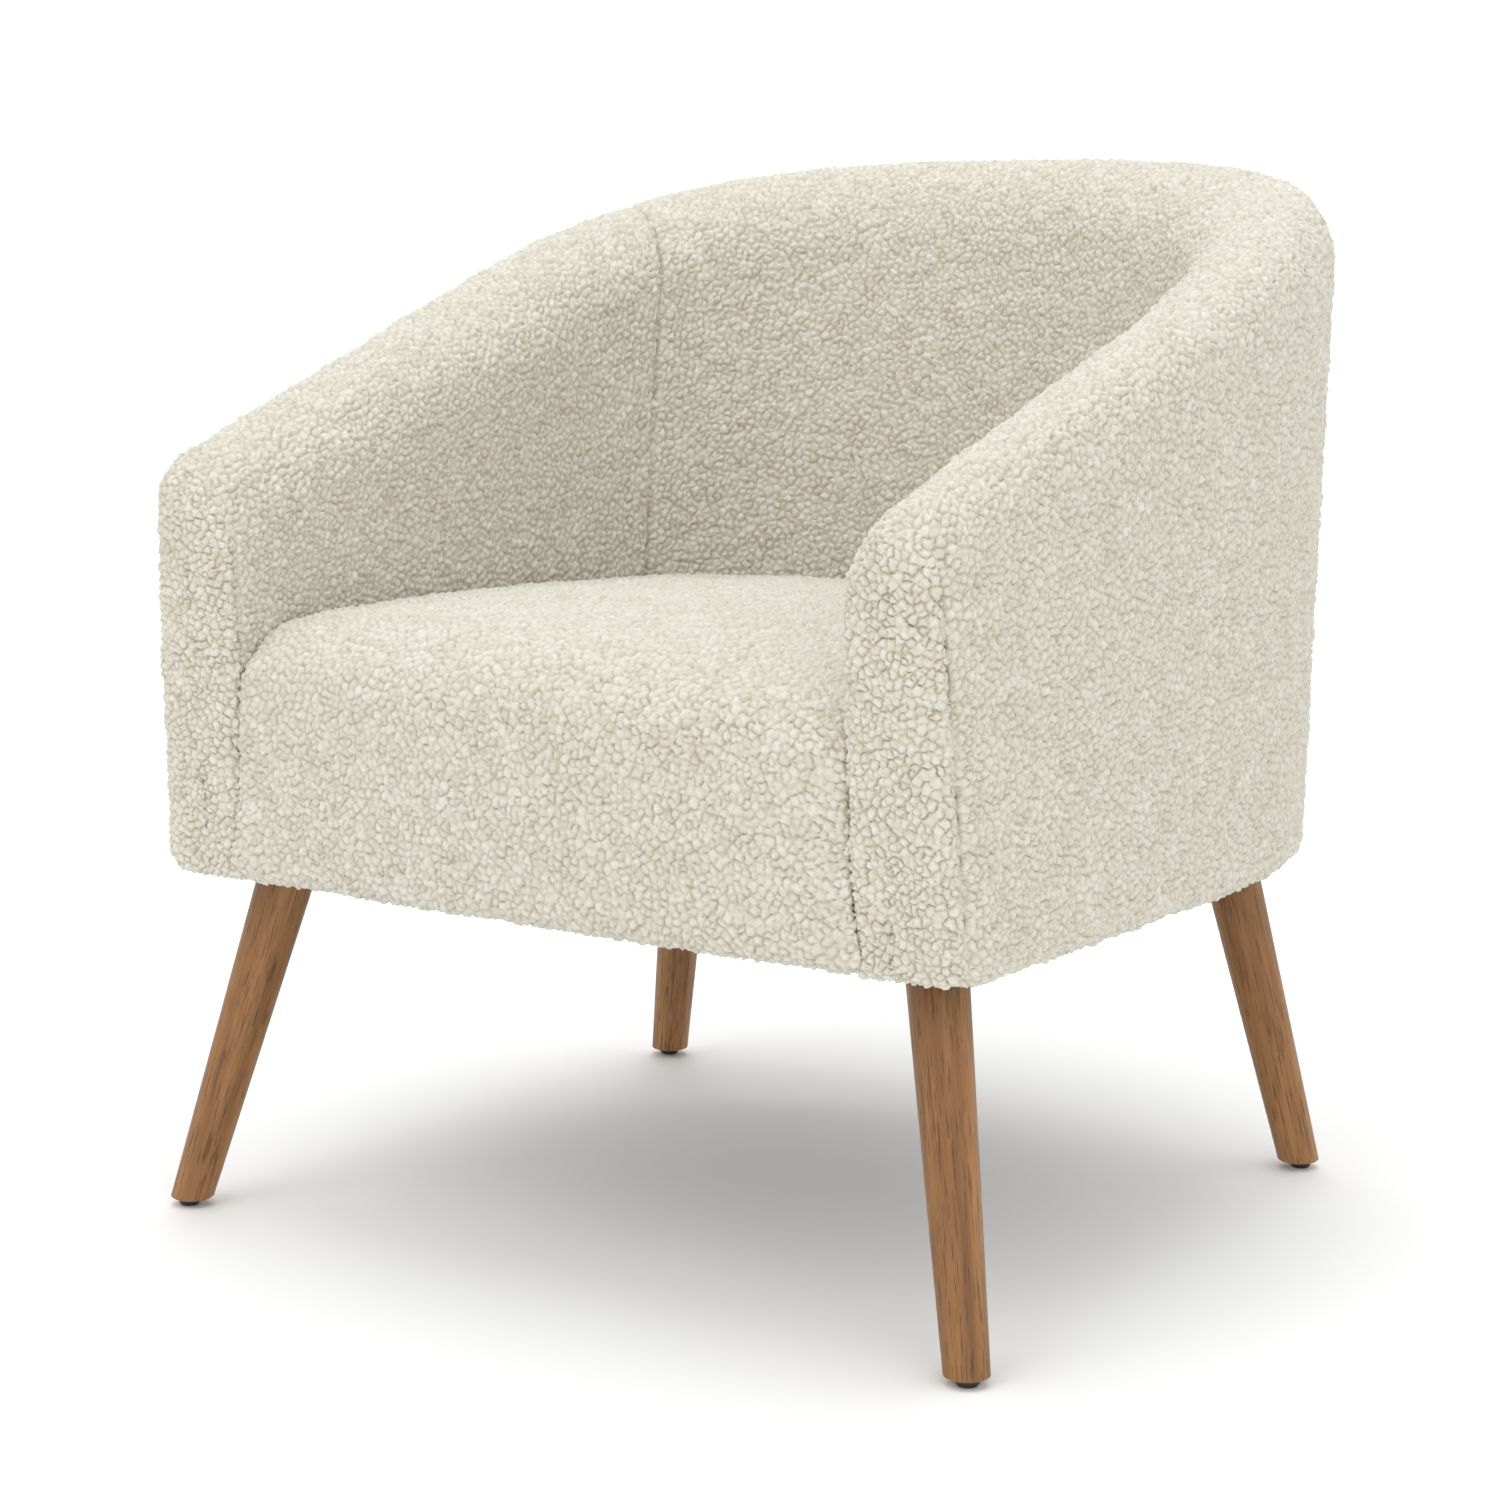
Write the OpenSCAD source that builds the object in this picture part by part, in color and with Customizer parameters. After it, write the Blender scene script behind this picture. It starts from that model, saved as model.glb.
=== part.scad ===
// Upholstered tub armchair on four splayed wooden legs.
// Millimetres, +Z up, origin on the floor under the middle of the chair.
// The sitter faces -Y, so the chair's left is +X. It is symmetric about the plane X = 0.

/* [Body] */
// Height of the rim at the middle of the back
rim_top_z = 760; // [700:1:820]
// Half of the body's width, outside of the arms
half_w = 347; // [320:1:380]
// Half of the clear width between the arms
half_seat_w = 254; // [230:1:280]
// Underside of the upholstered body above the floor
body_z = 256; // [220:1:280]
// Front face of the arms at the body's underside
front_y = -342; // [-360:1:-320]
// How far the arm fronts lean forward per millimetre of height
front_lean = 0.07; // [0:0.01:0.12]
// Inward lean of the arms' outer sides at their front
arm_lean = 0.055; // [0:0.005:0.08]
// How far the arms' outer sides come in towards their front
arm_toe = 6; // [0:1:12]
// Outside of the back at the body's underside
back_y = 306; // [280:1:330]
// How far the outside of the back leans rearward per millimetre of height
back_lean = 0.115; // [0:0.005:0.2]
// Inside of the back at the height of the seat
back_in_y = 222; // [200:1:250]
// How far the inside of the back leans rearward per millimetre of height
back_in_lean = 0.185; // [0:0.005:0.3]

/* [Rim] */
// Height of the rim beside the middle of the seat, where the arm meets the back
rim_mid_z = 669; // [640:1:700]
// Slope of the rim along the arm
rim_slope = 0.323; // [0.2:0.001:0.45]
// Radius of the rim's outer shoulder
rim_out_r = 30; // [20:1:40]
// Height of the rim's rounder inner shoulder
rim_in_r = 60; // [40:1:70]

/* [Arm fronts] */
// Plan radius of the outer front corner
corner_out_r = 28; // [20:1:50]
// Plan radius of the inner front corner
corner_in_r = 16; // [8:1:30]
// Side view radius of the top front corner
corner_top_r = 32; // [20:1:50]
// Depth of the sewn front panel, up to its corner seams
panel_depth = 13; // [8:1:20]

/* [Upholstery] */
// Thickness of the pile fabric with its wadding
cover_t = 4; // [3:0.5:6]
// Thickness of the foam inside the back and the arms
foam_t = 31; // [20:1:40]
// Thickness of the hardboard skins
board_t = 3; // [2:0.5:4]
// Station of the seams between inside arm and inside back
seam_q = 0.72; // [0.6:0.01:0.85]

/* [Seat] */
// Height of the seat along the arms
seat_z = 440; // [410:1:460]
// Crown of the seat's middle above its edges
seat_crown = 14; // [0:1:25]
// Fall of the seat towards the back
seat_fall = 17; // [0:1:30]
// Front of the seat at its edges
seat_front_y = -346; // [-360:1:-330]
// Bulge of the seat's front face in its middle
seat_bulge = 10; // [0:1:20]
// Depth of the rounded top front edge
seat_round_y = 72; // [40:1:90]
// Height of the rounded top front edge
seat_round_z = 48; // [30:1:70]

/* [Frame] */
// Height of the rails round the seat
rail_h = 80; // [60:1:100]
// Thickness of the straight rails
rail_t = 24; // [18:1:30]
// Width of the webbing straps
strap_w = 50; // [40:1:60]

/* [Legs] */
// Front foot from the centre plane, on the floor
foot_front_x = 335; // [310:1:350]
// Front foot along Y, on the floor
foot_front_y = -325; // [-345:1:-300]
// Back foot from the centre plane, on the floor
foot_back_x = 299; // [270:1:320]
// Back foot along Y, on the floor
foot_back_y = 229; // [200:1:250]
// Sideways splay of a front leg over its height
splay_front_x = 59; // [40:1:70]
// Forward splay of a front leg over its height
splay_front_y = 54; // [40:1:70]
// Sideways splay of a back leg over its height
splay_back_x = 52; // [40:1:70]
// Rearward splay of a back leg over its height
splay_back_y = 39; // [30:1:60]
// Leg diameter at the floor
leg_bottom_d = 30; // [26:0.5:36]
// Leg diameter at the body
leg_top_d = 42; // [36:0.5:50]
// Radius of the leg's rounded bottom edge
leg_edge_r = 5; // [2:0.5:7]

/* [Glides] */
// Diameter of the glide's plastic pad
pad_d = 16; // [14:0.5:22]
// Height of the pad
pad_h = 5; // [4:0.5:8]
// Thread diameter of the stud, M6
stud_d = 5.9; // [5.8:0.05:6]
// Length of the stud above the pad
stud_l = 18; // [14:1:24]
// Clear height between pad and leg when screwed home
pad_gap = 0.3; // [0.1:0.1:0.5]

/* [Hardware] */
// Diameter of the hanger bolts, M8
bolt_d = 7.9; // [7.8:0.05:8]
// Hanger bolt length in the leg
bolt_in_leg = 34; // [25:1:45]
// Hanger bolt length in the corner block
bolt_in_block = 32; // [25:1:45]
// Number of staples along each straight side of the dust cover
staples_side = 6; // [3:1:10]

/* [Hidden] */
$fn = 48;
// Exponents of the outer and inner plan curves of the back
plan_n = 2.7;
plan_in_n = 2.5;
// Reference height of the inside of the back
in_ref_z = 425;
// Flattening of the rim towards the middle of the back
rim_back_y = back_y + back_lean*(rim_top_z - body_z);
rim_sag = (rim_mid_z + rim_slope*rim_back_y - rim_top_z)/(rim_back_y*rim_back_y);
// Plan thickness of the arms
wall_t = half_w - half_seat_w;
// Share of the wall where the rim is highest
crest_w = 0.33;
// Clearance between neighbouring soft pieces
gap = 0.3;
// Radius of the body's bottom edge, and width of the hem turned under the rails
tuck_r = 16;
hem_w = 24;
seat_hem_w = 34;
rail_z = body_z + 6;
deck_z = rail_z + rail_h;
strap_t = 2;
foam_z = deck_z + 2*strap_t + gap;
leg_top_z = body_z - 1.4;
// Foot of the soft pieces inside the back and the arms
wall_foot_z = foam_z + 1;
seat_half = half_seat_w - 2;
// Frame: rail faces, insets of the curved back rail, and where the pieces end
front_out_y = front_y + 20;
front_in_y = front_out_y + rail_t;
side_in_x = half_w - 41;
block_in_x = side_in_x - 73;
rail_end_y = 78;
back_out_d = 14;
back_in_d = 30;
arm_in_x = half_w - 45;
arm_rail_t = 18;
arm_rail_h = 44;
arm_end_y = 94.5;
top_rail_q = 0.865;
// Depth of the arm and top rails below the rim, and of the foam over them
rail_drop = 40;
rim_foam_d = 36.5;
// Share of the wall outside the hardboard skin
board_w = 0.05;
leg_bottom_z = pad_h + pad_gap;
skin = [0.93, 0.91, 0.85];
foam_col = [0.93, 0.88, 0.66];
timber = [0.80, 0.66, 0.47];
leg_col = [0.58, 0.38, 0.22];
board_col = [0.60, 0.45, 0.30];
black = [0.05, 0.05, 0.05];
steel = [0.72, 0.72, 0.74];

// ---- Plan and rim curves ----

function lift(v, e) = pow(max(v, 0), e);

// Setback of a rounded corner of radius r at distance d from the face
function setback(r, d) = d >= r ? 0 : r - sqrt(max(0, r*r - (r - max(d, 0))*(r - max(d, 0))));

function face_y(z) = front_y - front_lean*(z - body_z);
function outer_y(z) = back_y + back_lean*(z - body_z);
function inner_y(z) = back_in_y + back_in_lean*(z - in_ref_z);
function rim_z(y) = rim_mid_z + rim_slope*y - (y > 0 ? rim_sag*y*y : 0);

// Outer and inner points of the wall at station q and height z.
// |q| runs from 0 at the middle of the back to 1 where the arm starts, and to 2 at its front.
function arm_inset(t, z) = arm_lean*t*(z - body_z) + arm_toe*lift(t, 1.5);
function outer_pt(q, z) =
    abs(q) <= 1 ? [half_w*lift(sin(90*abs(q)), 2/plan_n), outer_y(z)*lift(cos(90*abs(q)), 2/plan_n)]
                : [half_w - arm_inset(abs(q) - 1, z) - setback(corner_out_r, (2 - abs(q))*abs(face_y(z))),
                   (abs(q) - 1)*face_y(z)];
function inner_pt(q, z) =
    abs(q) <= 1
        ? [half_seat_w*lift(sin(90*abs(q)), 2/plan_in_n), inner_y(z)*lift(cos(90*abs(q)), 2/plan_in_n)]
        : [half_seat_w + setback(corner_in_r, (2 - abs(q))*abs(face_y(z))), (abs(q) - 1)*face_y(z)];
function wall_pt(q, w, z) =
    let (o = outer_pt(q, z), i = inner_pt(q, z), s = q < 0 ? -1 : 1)
    [s*(o[0]*(1 - w) + i[0]*w), o[1]*(1 - w) + i[1]*w, z];

// Height of the rim at station q, with the rounded corner at the front
function rim_at(q) =
    let (y = outer_pt(q, rim_top_z)[1], d = abs(q) > 1 ? (2 - abs(q))*abs(face_y(600)) : 1000)
    rim_z(y) - setback(corner_top_r, d);

// Stations from q0 to q1
function steps(q0, q1, n) = [for (i = [0:n]) q0 + (q1 - q0)*i/n];

// Station of the arm at the distance d behind its front face
function arm_q(d) = 2 - d/abs(face_y(500));

// Stations of one arm from its front back to the seam, closer together at the rounded corner
function arm_stations(ds) =
    concat([for (d = ds) arm_q(d)], steps(arm_q(80), 1.03, 5), [0.95, 0.87, 0.79]);

// Profile over the rim, from the foot of the inside face to the outer shoulder.
// di, dt and dq are the depths below the inside face, the crest and the outside face.
function rim_profile(q, z0, di, dt, dq) =
    let (zr = rim_at(q), hi = (1 - crest_w)*wall_t - di, ho = crest_w*wall_t - dq)
    concat(
        [wall_pt(q, 1 - di/wall_t, z0)],
        [for (a = [0:15:90])
            wall_pt(q, crest_w + hi*cos(a)/wall_t, zr - rim_in_r + (rim_in_r - dt)*sin(a))],
        [for (a = [18:18:90])
            wall_pt(q, crest_w - ho*sin(a)/wall_t, zr - rim_out_r + (rim_out_r - dt)*cos(a))],
        [wall_pt(q, dq/wall_t, zr - rim_out_r - 7)]);

// Profile of the outside cover, from its hem under the rails up to the seam below the rim
function side_profile(q, d) =
    let (r = tuck_r - d)
    concat(
        [wall_pt(q, hem_w/wall_t, body_z + d), wall_pt(q, tuck_r/wall_t, body_z + d)],
        [for (a = [22.5:22.5:90])
            wall_pt(q, (tuck_r - r*sin(a))/wall_t, body_z + tuck_r - r*cos(a))],
        [wall_pt(q, d/wall_t, rim_at(q) - rim_out_r - 7 - gap)]);

// ---- Solids between two grids of points ----

function flat(g) = [for (row = g) for (p = row) p];
function quad(a, b, c, d) = [[a, b, c], [a, c, d]];
function slab_faces(n, m) =
    let (k = n*m)
    flat(concat(
        [for (i = [0:n - 2], j = [0:m - 2])
            quad(k + i*m + j, k + (i + 1)*m + j, k + (i + 1)*m + j + 1, k + i*m + j + 1)],
        [for (i = [0:n - 2], j = [0:m - 2])
            quad(i*m + j, i*m + j + 1, (i + 1)*m + j + 1, (i + 1)*m + j)],
        [for (i = [0:n - 2]) quad(i*m, (i + 1)*m, k + (i + 1)*m, k + i*m)],
        [for (i = [0:n - 2])
            quad(i*m + m - 1, k + i*m + m - 1, k + (i + 1)*m + m - 1, (i + 1)*m + m - 1)],
        [for (j = [0:m - 2]) quad(j, k + j, k + j + 1, j + 1)],
        [for (j = [0:m - 2])
            quad((n - 1)*m + j, (n - 1)*m + j + 1, k + (n - 1)*m + j + 1, k + (n - 1)*m + j)]));

// a is the hidden grid and b the visible one, rows are stations and columns profile points
module slab(a, b) {
    polyhedron(points = concat(flat(a), flat(b)), faces = slab_faces(len(a), len(a[0])), convexity = 10);
}

// A solid skinned over closed loops, one above the other along its depth
module stack(loops) {
    n = len(loops);
    m = len(loops[0]);
    polyhedron(
        points = flat(loops),
        faces = concat(
            flat([for (i = [0:n - 2], j = [0:m - 1])
                quad(i*m + j, i*m + (j + 1)%m, (i + 1)*m + (j + 1)%m, (i + 1)*m + j)]),
            [[for (j = [0:m - 1]) m - 1 - j]],
            [[for (j = [0:m - 1]) (n - 1)*m + j]]),
        convexity = 6);
}

module sides(side) {
    mirror([side < 0 ? 1 : 0, 0, 0]) children();
}

// ---- Legs and glides ----

function tilt(dx, dy) = atan2(norm([dx, dy]), body_z);

// Places its children on a leg's axis, at height z above the floor
module on_axis(x, y, dx, dy, z) {
    translate([x - dx*z/body_z, y + dy*z/body_z, z])
        rotate([0, 0, atan2(dy, -dx)])
            rotate([0, tilt(dx, dy), 0])
                children();
}

module leg(x, y, dx, dy) {
    len_axis = body_z/cos(tilt(dx, dy));
    extra = 30;
    grow = (leg_top_d - leg_bottom_d)/2/len_axis*extra;
    mid = leg_bottom_z + leg_edge_r/2;
    difference() {
        intersection() {
            on_axis(x, y, dx, dy, 0)
                translate([0, 0, -extra])
                    cylinder(
                        h = len_axis + 2*extra,
                        r1 = leg_bottom_d/2 - grow,
                        r2 = leg_top_d/2 + grow,
                        $fn = 96);
            union() {
                translate([x - dx*mid/body_z, y + dy*mid/body_z, leg_bottom_z])
                    foot_round(leg_bottom_d/2 + 2, leg_edge_r);
                translate([x - 200, y - 200, leg_bottom_z + leg_edge_r])
                    cube([400, 400, leg_top_z - leg_bottom_z - leg_edge_r]);
            }
        }
        on_axis(x, y, dx, dy, leg_top_z)
            translate([0, 0, -bolt_in_leg])
                cylinder(h = bolt_in_leg + 40, d = bolt_d + 0.1);
        translate([x, y, 0])
            cylinder(h = leg_bottom_z + stud_l + 3, d = stud_d + 3.2);
    }
}

// Flat puck with a rounded lower edge
module foot_round(r, edge) {
    rotate_extrude($fn = 96) {
        square([r - edge, edge]);
        intersection() {
            translate([r - edge, edge])
                circle(r = edge, $fn = 64);
            square([r, edge]);
        }
    }
}

module glide_insert(x, y) {
    translate([x, y, leg_bottom_z])
        difference() {
            cylinder(h = stud_l, d = stud_d + 3.1);
            translate([0, 0, -1])
                cylinder(h = stud_l + 2, d = stud_d + 0.1);
        }
}

// Bowl shaped pad with the socket that holds the stud's head
module glide_pad(x, y) {
    translate([x, y, 0])
        rotate_extrude($fn = 64)
            polygon([
                [0, 0], [pad_d/2 - 2.6, 0], [pad_d/2 - 1.3, 0.5], [pad_d/2 - 0.5, 1.6],
                [pad_d/2, 3.2], [pad_d/2, pad_h - 0.4], [pad_d/2 - 0.4, pad_h],
                [stud_d/2 + 0.1, pad_h], [stud_d/2 + 0.1, 3.3], [4.1, 3.3], [4.1, 1.5], [0, 1.5]]);
}

module glide_stud(x, y) {
    translate([x, y, 1.6])
        cylinder(h = 1.6, r = 4);
    translate([x, y, 1.7])
        cylinder(h = pad_h + stud_l - 1.7, d = stud_d);
}

module hanger_bolt(x, y, dx, dy) {
    on_axis(x, y, dx, dy, leg_top_z)
        translate([0, 0, -bolt_in_leg + 1])
            cylinder(h = bolt_in_leg + bolt_in_block, d = bolt_d);
}

module block_insert(x, y, dx, dy) {
    on_axis(x, y, dx, dy, body_z)
        translate([0, 0, 6])
            difference() {
                cylinder(h = 22, d = bolt_d + 4);
                translate([0, 0, -1])
                    cylinder(h = 24, d = bolt_d + 0.1);
            }
}

// A block around the leg's bolt, with its bore and the seat of its insert
module block_bores(x, y, dx, dy) {
    on_axis(x, y, dx, dy, body_z) {
        translate([0, 0, -20])
            cylinder(h = 70, d = bolt_d + 0.5);
        translate([0, 0, 5.8])
            cylinder(h = 22.4, d = bolt_d + 4.1);
    }
}

// ---- Frame ----

// Plan curve of the back, inset from the outside by d
function back_curve(d, z, n) = [for (i = [0:n])
    let (a = 180*i/n)
    [(half_w - d)*sign(cos(a))*lift(abs(cos(a)), 2/plan_n), (outer_y(z) - d)*lift(sin(a), 2/plan_n)]];
function back_curve_y(x, d, z) = (outer_y(z) - d)*lift(1 - lift(abs(x)/(half_w - d), plan_n), 1/plan_n);

module front_block(side) {
    sides(side)
        difference() {
            translate([block_in_x, front_in_y + gap, body_z])
                cube([side_in_x - gap - block_in_x, 66, 60]);
            block_bores(foot_front_x, foot_front_y, splay_front_x, splay_front_y);
        }
}

module back_block(side) {
    sides(side)
        difference() {
            intersection() {
                translate([203, 147, body_z])
                    cube([88, 92, 60]);
                linear_extrude(400)
                    polygon(back_curve(back_in_d + gap, rail_z, 48));
            }
            block_bores(foot_back_x, foot_back_y, splay_back_x, -splay_back_y);
        }
}

module front_rail() {
    color(timber)
        translate([-side_in_x + gap, front_out_y, rail_z])
            cube([2*side_in_x - 2*gap, rail_t, rail_h]);
}

module side_rail(side) {
    sides(side)
        translate([side_in_x, front_out_y + 8, rail_z])
            cube([rail_t, rail_end_y - front_out_y - 8, rail_h]);
}

module back_rail() {
    color(timber)
        translate([0, 0, rail_z])
            linear_extrude(rail_h)
                intersection() {
                    difference() {
                        polygon(back_curve(back_out_d, rail_z, 48));
                        polygon(back_curve(back_in_d, rail_z, 48));
                    }
                    translate([-400, rail_end_y + gap])
                        square([800, 400]);
                }
}

// Board standing in a plane X = constant, from its outline in Y and Z
module upright(x, w, pts) {
    translate([x, 0, 0])
        rotate([90, 0, 90])
            linear_extrude(w)
                polygon(pts);
}

// Underside of the arm's foam along Y, where the arm rail runs
function rail_line(y) = rim_z(y < 0 ? 1.04*y : y) - rail_drop;

module arm_post(side) {
    y0 = front_out_y - 6;
    y1 = y0 + 38;
    sides(side)
        upright(arm_in_x, arm_rail_t, [
            [y0, deck_z + gap], [y1, deck_z + gap],
            [y1, rail_line(y1) - arm_rail_h - gap], [y0, rail_line(y0) - arm_rail_h - gap]]);
}

module arm_rail(side) {
    y0 = front_out_y - 6;
    y1 = arm_end_y;
    sides(side)
        upright(arm_in_x, arm_rail_t, concat(
            [for (y = [y0, -150, 0, 45, y1]) [y, rail_line(y) - arm_rail_h]],
            [for (y = [y1, 45, 0, -150, y0]) [y, rail_line(y)]]));
}

module back_post(side) {
    sides(side)
        upright(294, 22, [
            [89, deck_z + gap], [121, deck_z + gap], [143, 614], [111, 614]]);
}

module back_slat() {
    color(timber)
        upright(-12, 24, [[270, deck_z + gap], [290, deck_z + gap], [326, 674], [306, 674]]);
}

// Laminated rail that follows the rim round the back, between the arm rails
module top_rail() {
    q = [for (k = steps(top_rail_q, -top_rail_q, 24)) k];
    color(timber)
        slab(
            [for (k = q) let (z = rim_at(k) - rail_drop)
                [wall_pt(k, 0.42, z), wall_pt(k, 0.42, z - arm_rail_h)]],
            [for (k = q) let (z = rim_at(k) - rail_drop)
                [wall_pt(k, 0.16, z), wall_pt(k, 0.16, z - arm_rail_h)]]);
}

// Stations of the whole U, from the right arm's front to the left arm's front
function u_stations(ds) =
    let (arm = arm_stations(ds))
    concat([for (q = arm) -q], steps(-seam_q, seam_q, 18), [for (i = [len(arm) - 1:-1:0]) arm[i]]);

// Hardboard skin bent round the U, from height z0 to the depth drop below the rim
module skin_board(w, z0, drop) {
    wi = w + board_t/wall_t;
    q = u_stations([34, 44]);
    slab(
        [for (k = q) [wall_pt(k, wi, z0), wall_pt(k, wi, rim_at(k) - drop)]],
        [for (k = q) [wall_pt(k, w, z0), wall_pt(k, w, rim_at(k) - drop)]]);
}

module outside_board() {
    color(board_col)
        skin_board(board_w, body_z + tuck_r + 1, 46);
}

module inside_board() {
    color(board_col)
        skin_board(1 - (cover_t + foam_t + board_t + 2)/wall_t, wall_foot_z, 80);
}

module seat_straps_long() {
    color(black)
        for (x = [-190:76:190])
            translate([x - strap_w/2, front_out_y, deck_z])
                cube([strap_w, back_curve_y(abs(x) + strap_w/2, 21, rail_z) - front_out_y, strap_t]);
}

module seat_straps_cross() {
    color(black)
        for (y = [-250:78:62]) {
            translate([-side_in_x - 18, y - strap_w/2, deck_z + strap_t])
                cube([2*side_in_x + 36, strap_w, strap_t]);
            for (s = [-1, 1])
                translate([s > 0 ? side_in_x : -side_in_x - 18, y - strap_w/2, deck_z])
                    cube([18, strap_w, strap_t]);
        }
}

// ---- Seat ----

// Back edge of the seat at x and height z, just clear of the inside of the back
function seat_back_y(x, z) =
    (inner_y(z) - 4)*lift(1 - lift(abs(x)/(half_seat_w - 1), plan_in_n), 1/plan_in_n) - 1;
function seat_back_pts(x, yr, yb) = [for (i = [0:6]) yb + (yr - yb)*i/7];
function across(x) = 1 - lift(abs(x)/seat_half, 2);
function seat_top(x, y) =
    seat_z - seat_fall*max(0, (y + 150)/372)
    + seat_crown*lift(across(x), 0.8)*lift(1 - lift(abs(y + 80)/300, 2), 0.7);
// Front face at x and height z, d below the surface
function seat_face(x, z, d) =
    seat_front_y + d + 0.6*setback(20, seat_half - abs(x))
    - seat_bulge*across(x)*sin(90*min(1, max(0, (z - body_z)/120)));

// Profile of the seat from the back, over the front edge and down to the hem, d below the surface
function seat_profile(x, d) =
    let (
        yr = seat_front_y + seat_round_y,
        zr = seat_top(x, yr) - seat_round_z,
        yf = seat_face(x, zr, 0),
        r = tuck_r - d,
        y0 = seat_front_y)
    concat(
        [for (y = seat_back_pts(x, yr, seat_back_y(x, seat_z - seat_fall))) [x, y, seat_top(x, y) - d]],
        [for (a = [0:15:90])
            [x, yr - (yr - yf - d)*sin(a), zr + (seat_round_z - d)*cos(a)]],
        [for (z = [350, 305]) [x, seat_face(x, z, d), z]],
        [for (a = [0:22.5:90])
            [x, seat_face(x, body_z + tuck_r, 0) + tuck_r - r*cos(a), body_z + tuck_r - r*sin(a)]],
        [[x, y0 + seat_hem_w, body_z + d]]);

// Underside of the foam: along the straps, then down in front of the front rail
function seat_under(x) =
    let (
        yr = seat_front_y + seat_round_y,
        back = seat_back_pts(x, yr, seat_back_y(x, foam_z)),
        yf = front_out_y - gap)
    concat(
        [for (y = back) [x, y, foam_z]],
        [for (i = [0:7]) [x, yr + (yf - yr)*i/7, foam_z]],
        [for (i = [1:7]) [x, yf, foam_z - (foam_z - rail_z - 4)*i/7]]);

seat_x = [for (a = [-90:11.25:90]) seat_half*sin(a)];

module seat_cover() {
    color(skin)
        slab([for (x = seat_x) seat_profile(x, cover_t)], [for (x = seat_x) seat_profile(x, 0)]);
}

// Narrows a section of the seat for the foam, and stops it at the front rail's lower edge
function foam_section(p, x) = [for (i = [0:len(p) - 1])
    let (v = p[i], y_stop = front_out_y - gap - 2 - 0.5*(len(p) - 1 - i))
    [x, v[2] < deck_z - 4 ? min(v[1], y_stop) : v[1], max(v[2], rail_z)]];

module seat_foam() {
    k = 1 - 1/seat_half;
    color(foam_col)
        slab(
            [for (x = seat_x) [for (v = seat_under(x)) [k*x, v[1], v[2]]]],
            [for (x = seat_x) foam_section(seat_profile(x, cover_t + 3*gap), k*x)]);
}

// ---- Inside, outside and front upholstery ----

module inside_cover(q) {
    slab(
        [for (k = q) rim_profile(k, wall_foot_z, cover_t, cover_t, cover_t)],
        [for (k = q) rim_profile(k, wall_foot_z, 0, 0, 0)]);
}

module inside_foam(q) {
    c = cover_t + gap;
    slab(
        [for (k = q) rim_profile(k, wall_foot_z, c + foam_t, rim_foam_d, 2*cover_t)],
        [for (k = q) rim_profile(k, wall_foot_z, c, c, c)]);
}

back_stations = steps(seam_q - 0.002, 0.002 - seam_q, 18);
corner_d = [panel_depth + gap, 18, 25, 34, 44];
function arm_side(side) =
    let (a = concat(arm_stations(corner_d), [seam_q + 0.002]))
    side > 0 ? a : [for (i = [len(a) - 1:-1:0]) -a[i]];

module outside_cover() {
    q = u_stations(corner_d);
    color(skin)
        slab([for (k = q) side_profile(k, cover_t)], [for (k = q) side_profile(k, 0)]);
}

// Outline of the arm's section at station q, closed, with its lower edge raised by b
function arm_loop(q, b) =
    let (zr = rim_at(q), z0 = body_z + b)
    concat(
        [wall_pt(q, 1 - 5/wall_t, z0), wall_pt(q, 1, z0 + 5)],
        [for (a = [0:15:90])
            wall_pt(q, crest_w + (1 - crest_w)*cos(a), zr - rim_in_r + rim_in_r*sin(a))],
        [for (a = [18:18:90])
            wall_pt(q, crest_w - crest_w*sin(a), zr - rim_out_r + rim_out_r*cos(a))],
        [for (a = [90:-22.5:0])
            wall_pt(q, tuck_r*(1 - sin(a))/wall_t, z0 + tuck_r - tuck_r*cos(a))]);

module arm_front(side) {
    sides(side)
        stack([for (d = [panel_depth, 8, 4.5, 2, 0.5, 0]) arm_loop(arm_q(d), setback(10, d))]);
}

// ---- Underside ----

function dust_outline(d) = concat(
    back_curve(d, body_z, 40),
    [[-half_w + d, front_y + d + 14], [-half_w + d + 14, front_y + d],
     [half_w - d - 14, front_y + d], [half_w - d, front_y + d + 14]]);

module dust_cover() {
    color(black)
        difference() {
            translate([0, 0, body_z - 1.2])
                linear_extrude(1)
                    polygon(dust_outline(17));
            for (s = [-1, 1])
                sides(s) {
                    on_axis(foot_front_x, foot_front_y, splay_front_x, splay_front_y, body_z)
                        cylinder(h = 12, d = bolt_d + 1, center = true);
                    on_axis(foot_back_x, foot_back_y, splay_back_x, -splay_back_y, body_z)
                        cylinder(h = 12, d = bolt_d + 1, center = true);
                }
        }
}

module staple() {
    translate([-5, -0.5, body_z - 1.9])
        cube([10, 1, 0.6]);
}

module staples() {
    d = 21;
    color(steel) {
        for (i = [0:staples_side], s = [-1, 1])
            translate([s*(half_w - d), -295 + i*290/staples_side, 0])
                rotate([0, 0, 90])
                    staple();
        for (i = [0:staples_side + 1])
            translate([-250 + i*500/(staples_side + 1), front_y + d + 3, 0])
                staple();
        for (i = [1:2*staples_side - 1])
            let (p = back_curve(d, body_z, 2*staples_side)[i], a = 180*i/(2*staples_side))
                translate([p[0], p[1], 0])
                    rotate([0, 0, a + 90])
                        staple();
    }
}

// ---- Sub-parts ----

module leg_front_left() {
    color(leg_col)
        sides(1) leg(foot_front_x, foot_front_y, splay_front_x, splay_front_y);
}

module leg_front_right() {
    color(leg_col)
        sides(-1) leg(foot_front_x, foot_front_y, splay_front_x, splay_front_y);
}

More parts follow.
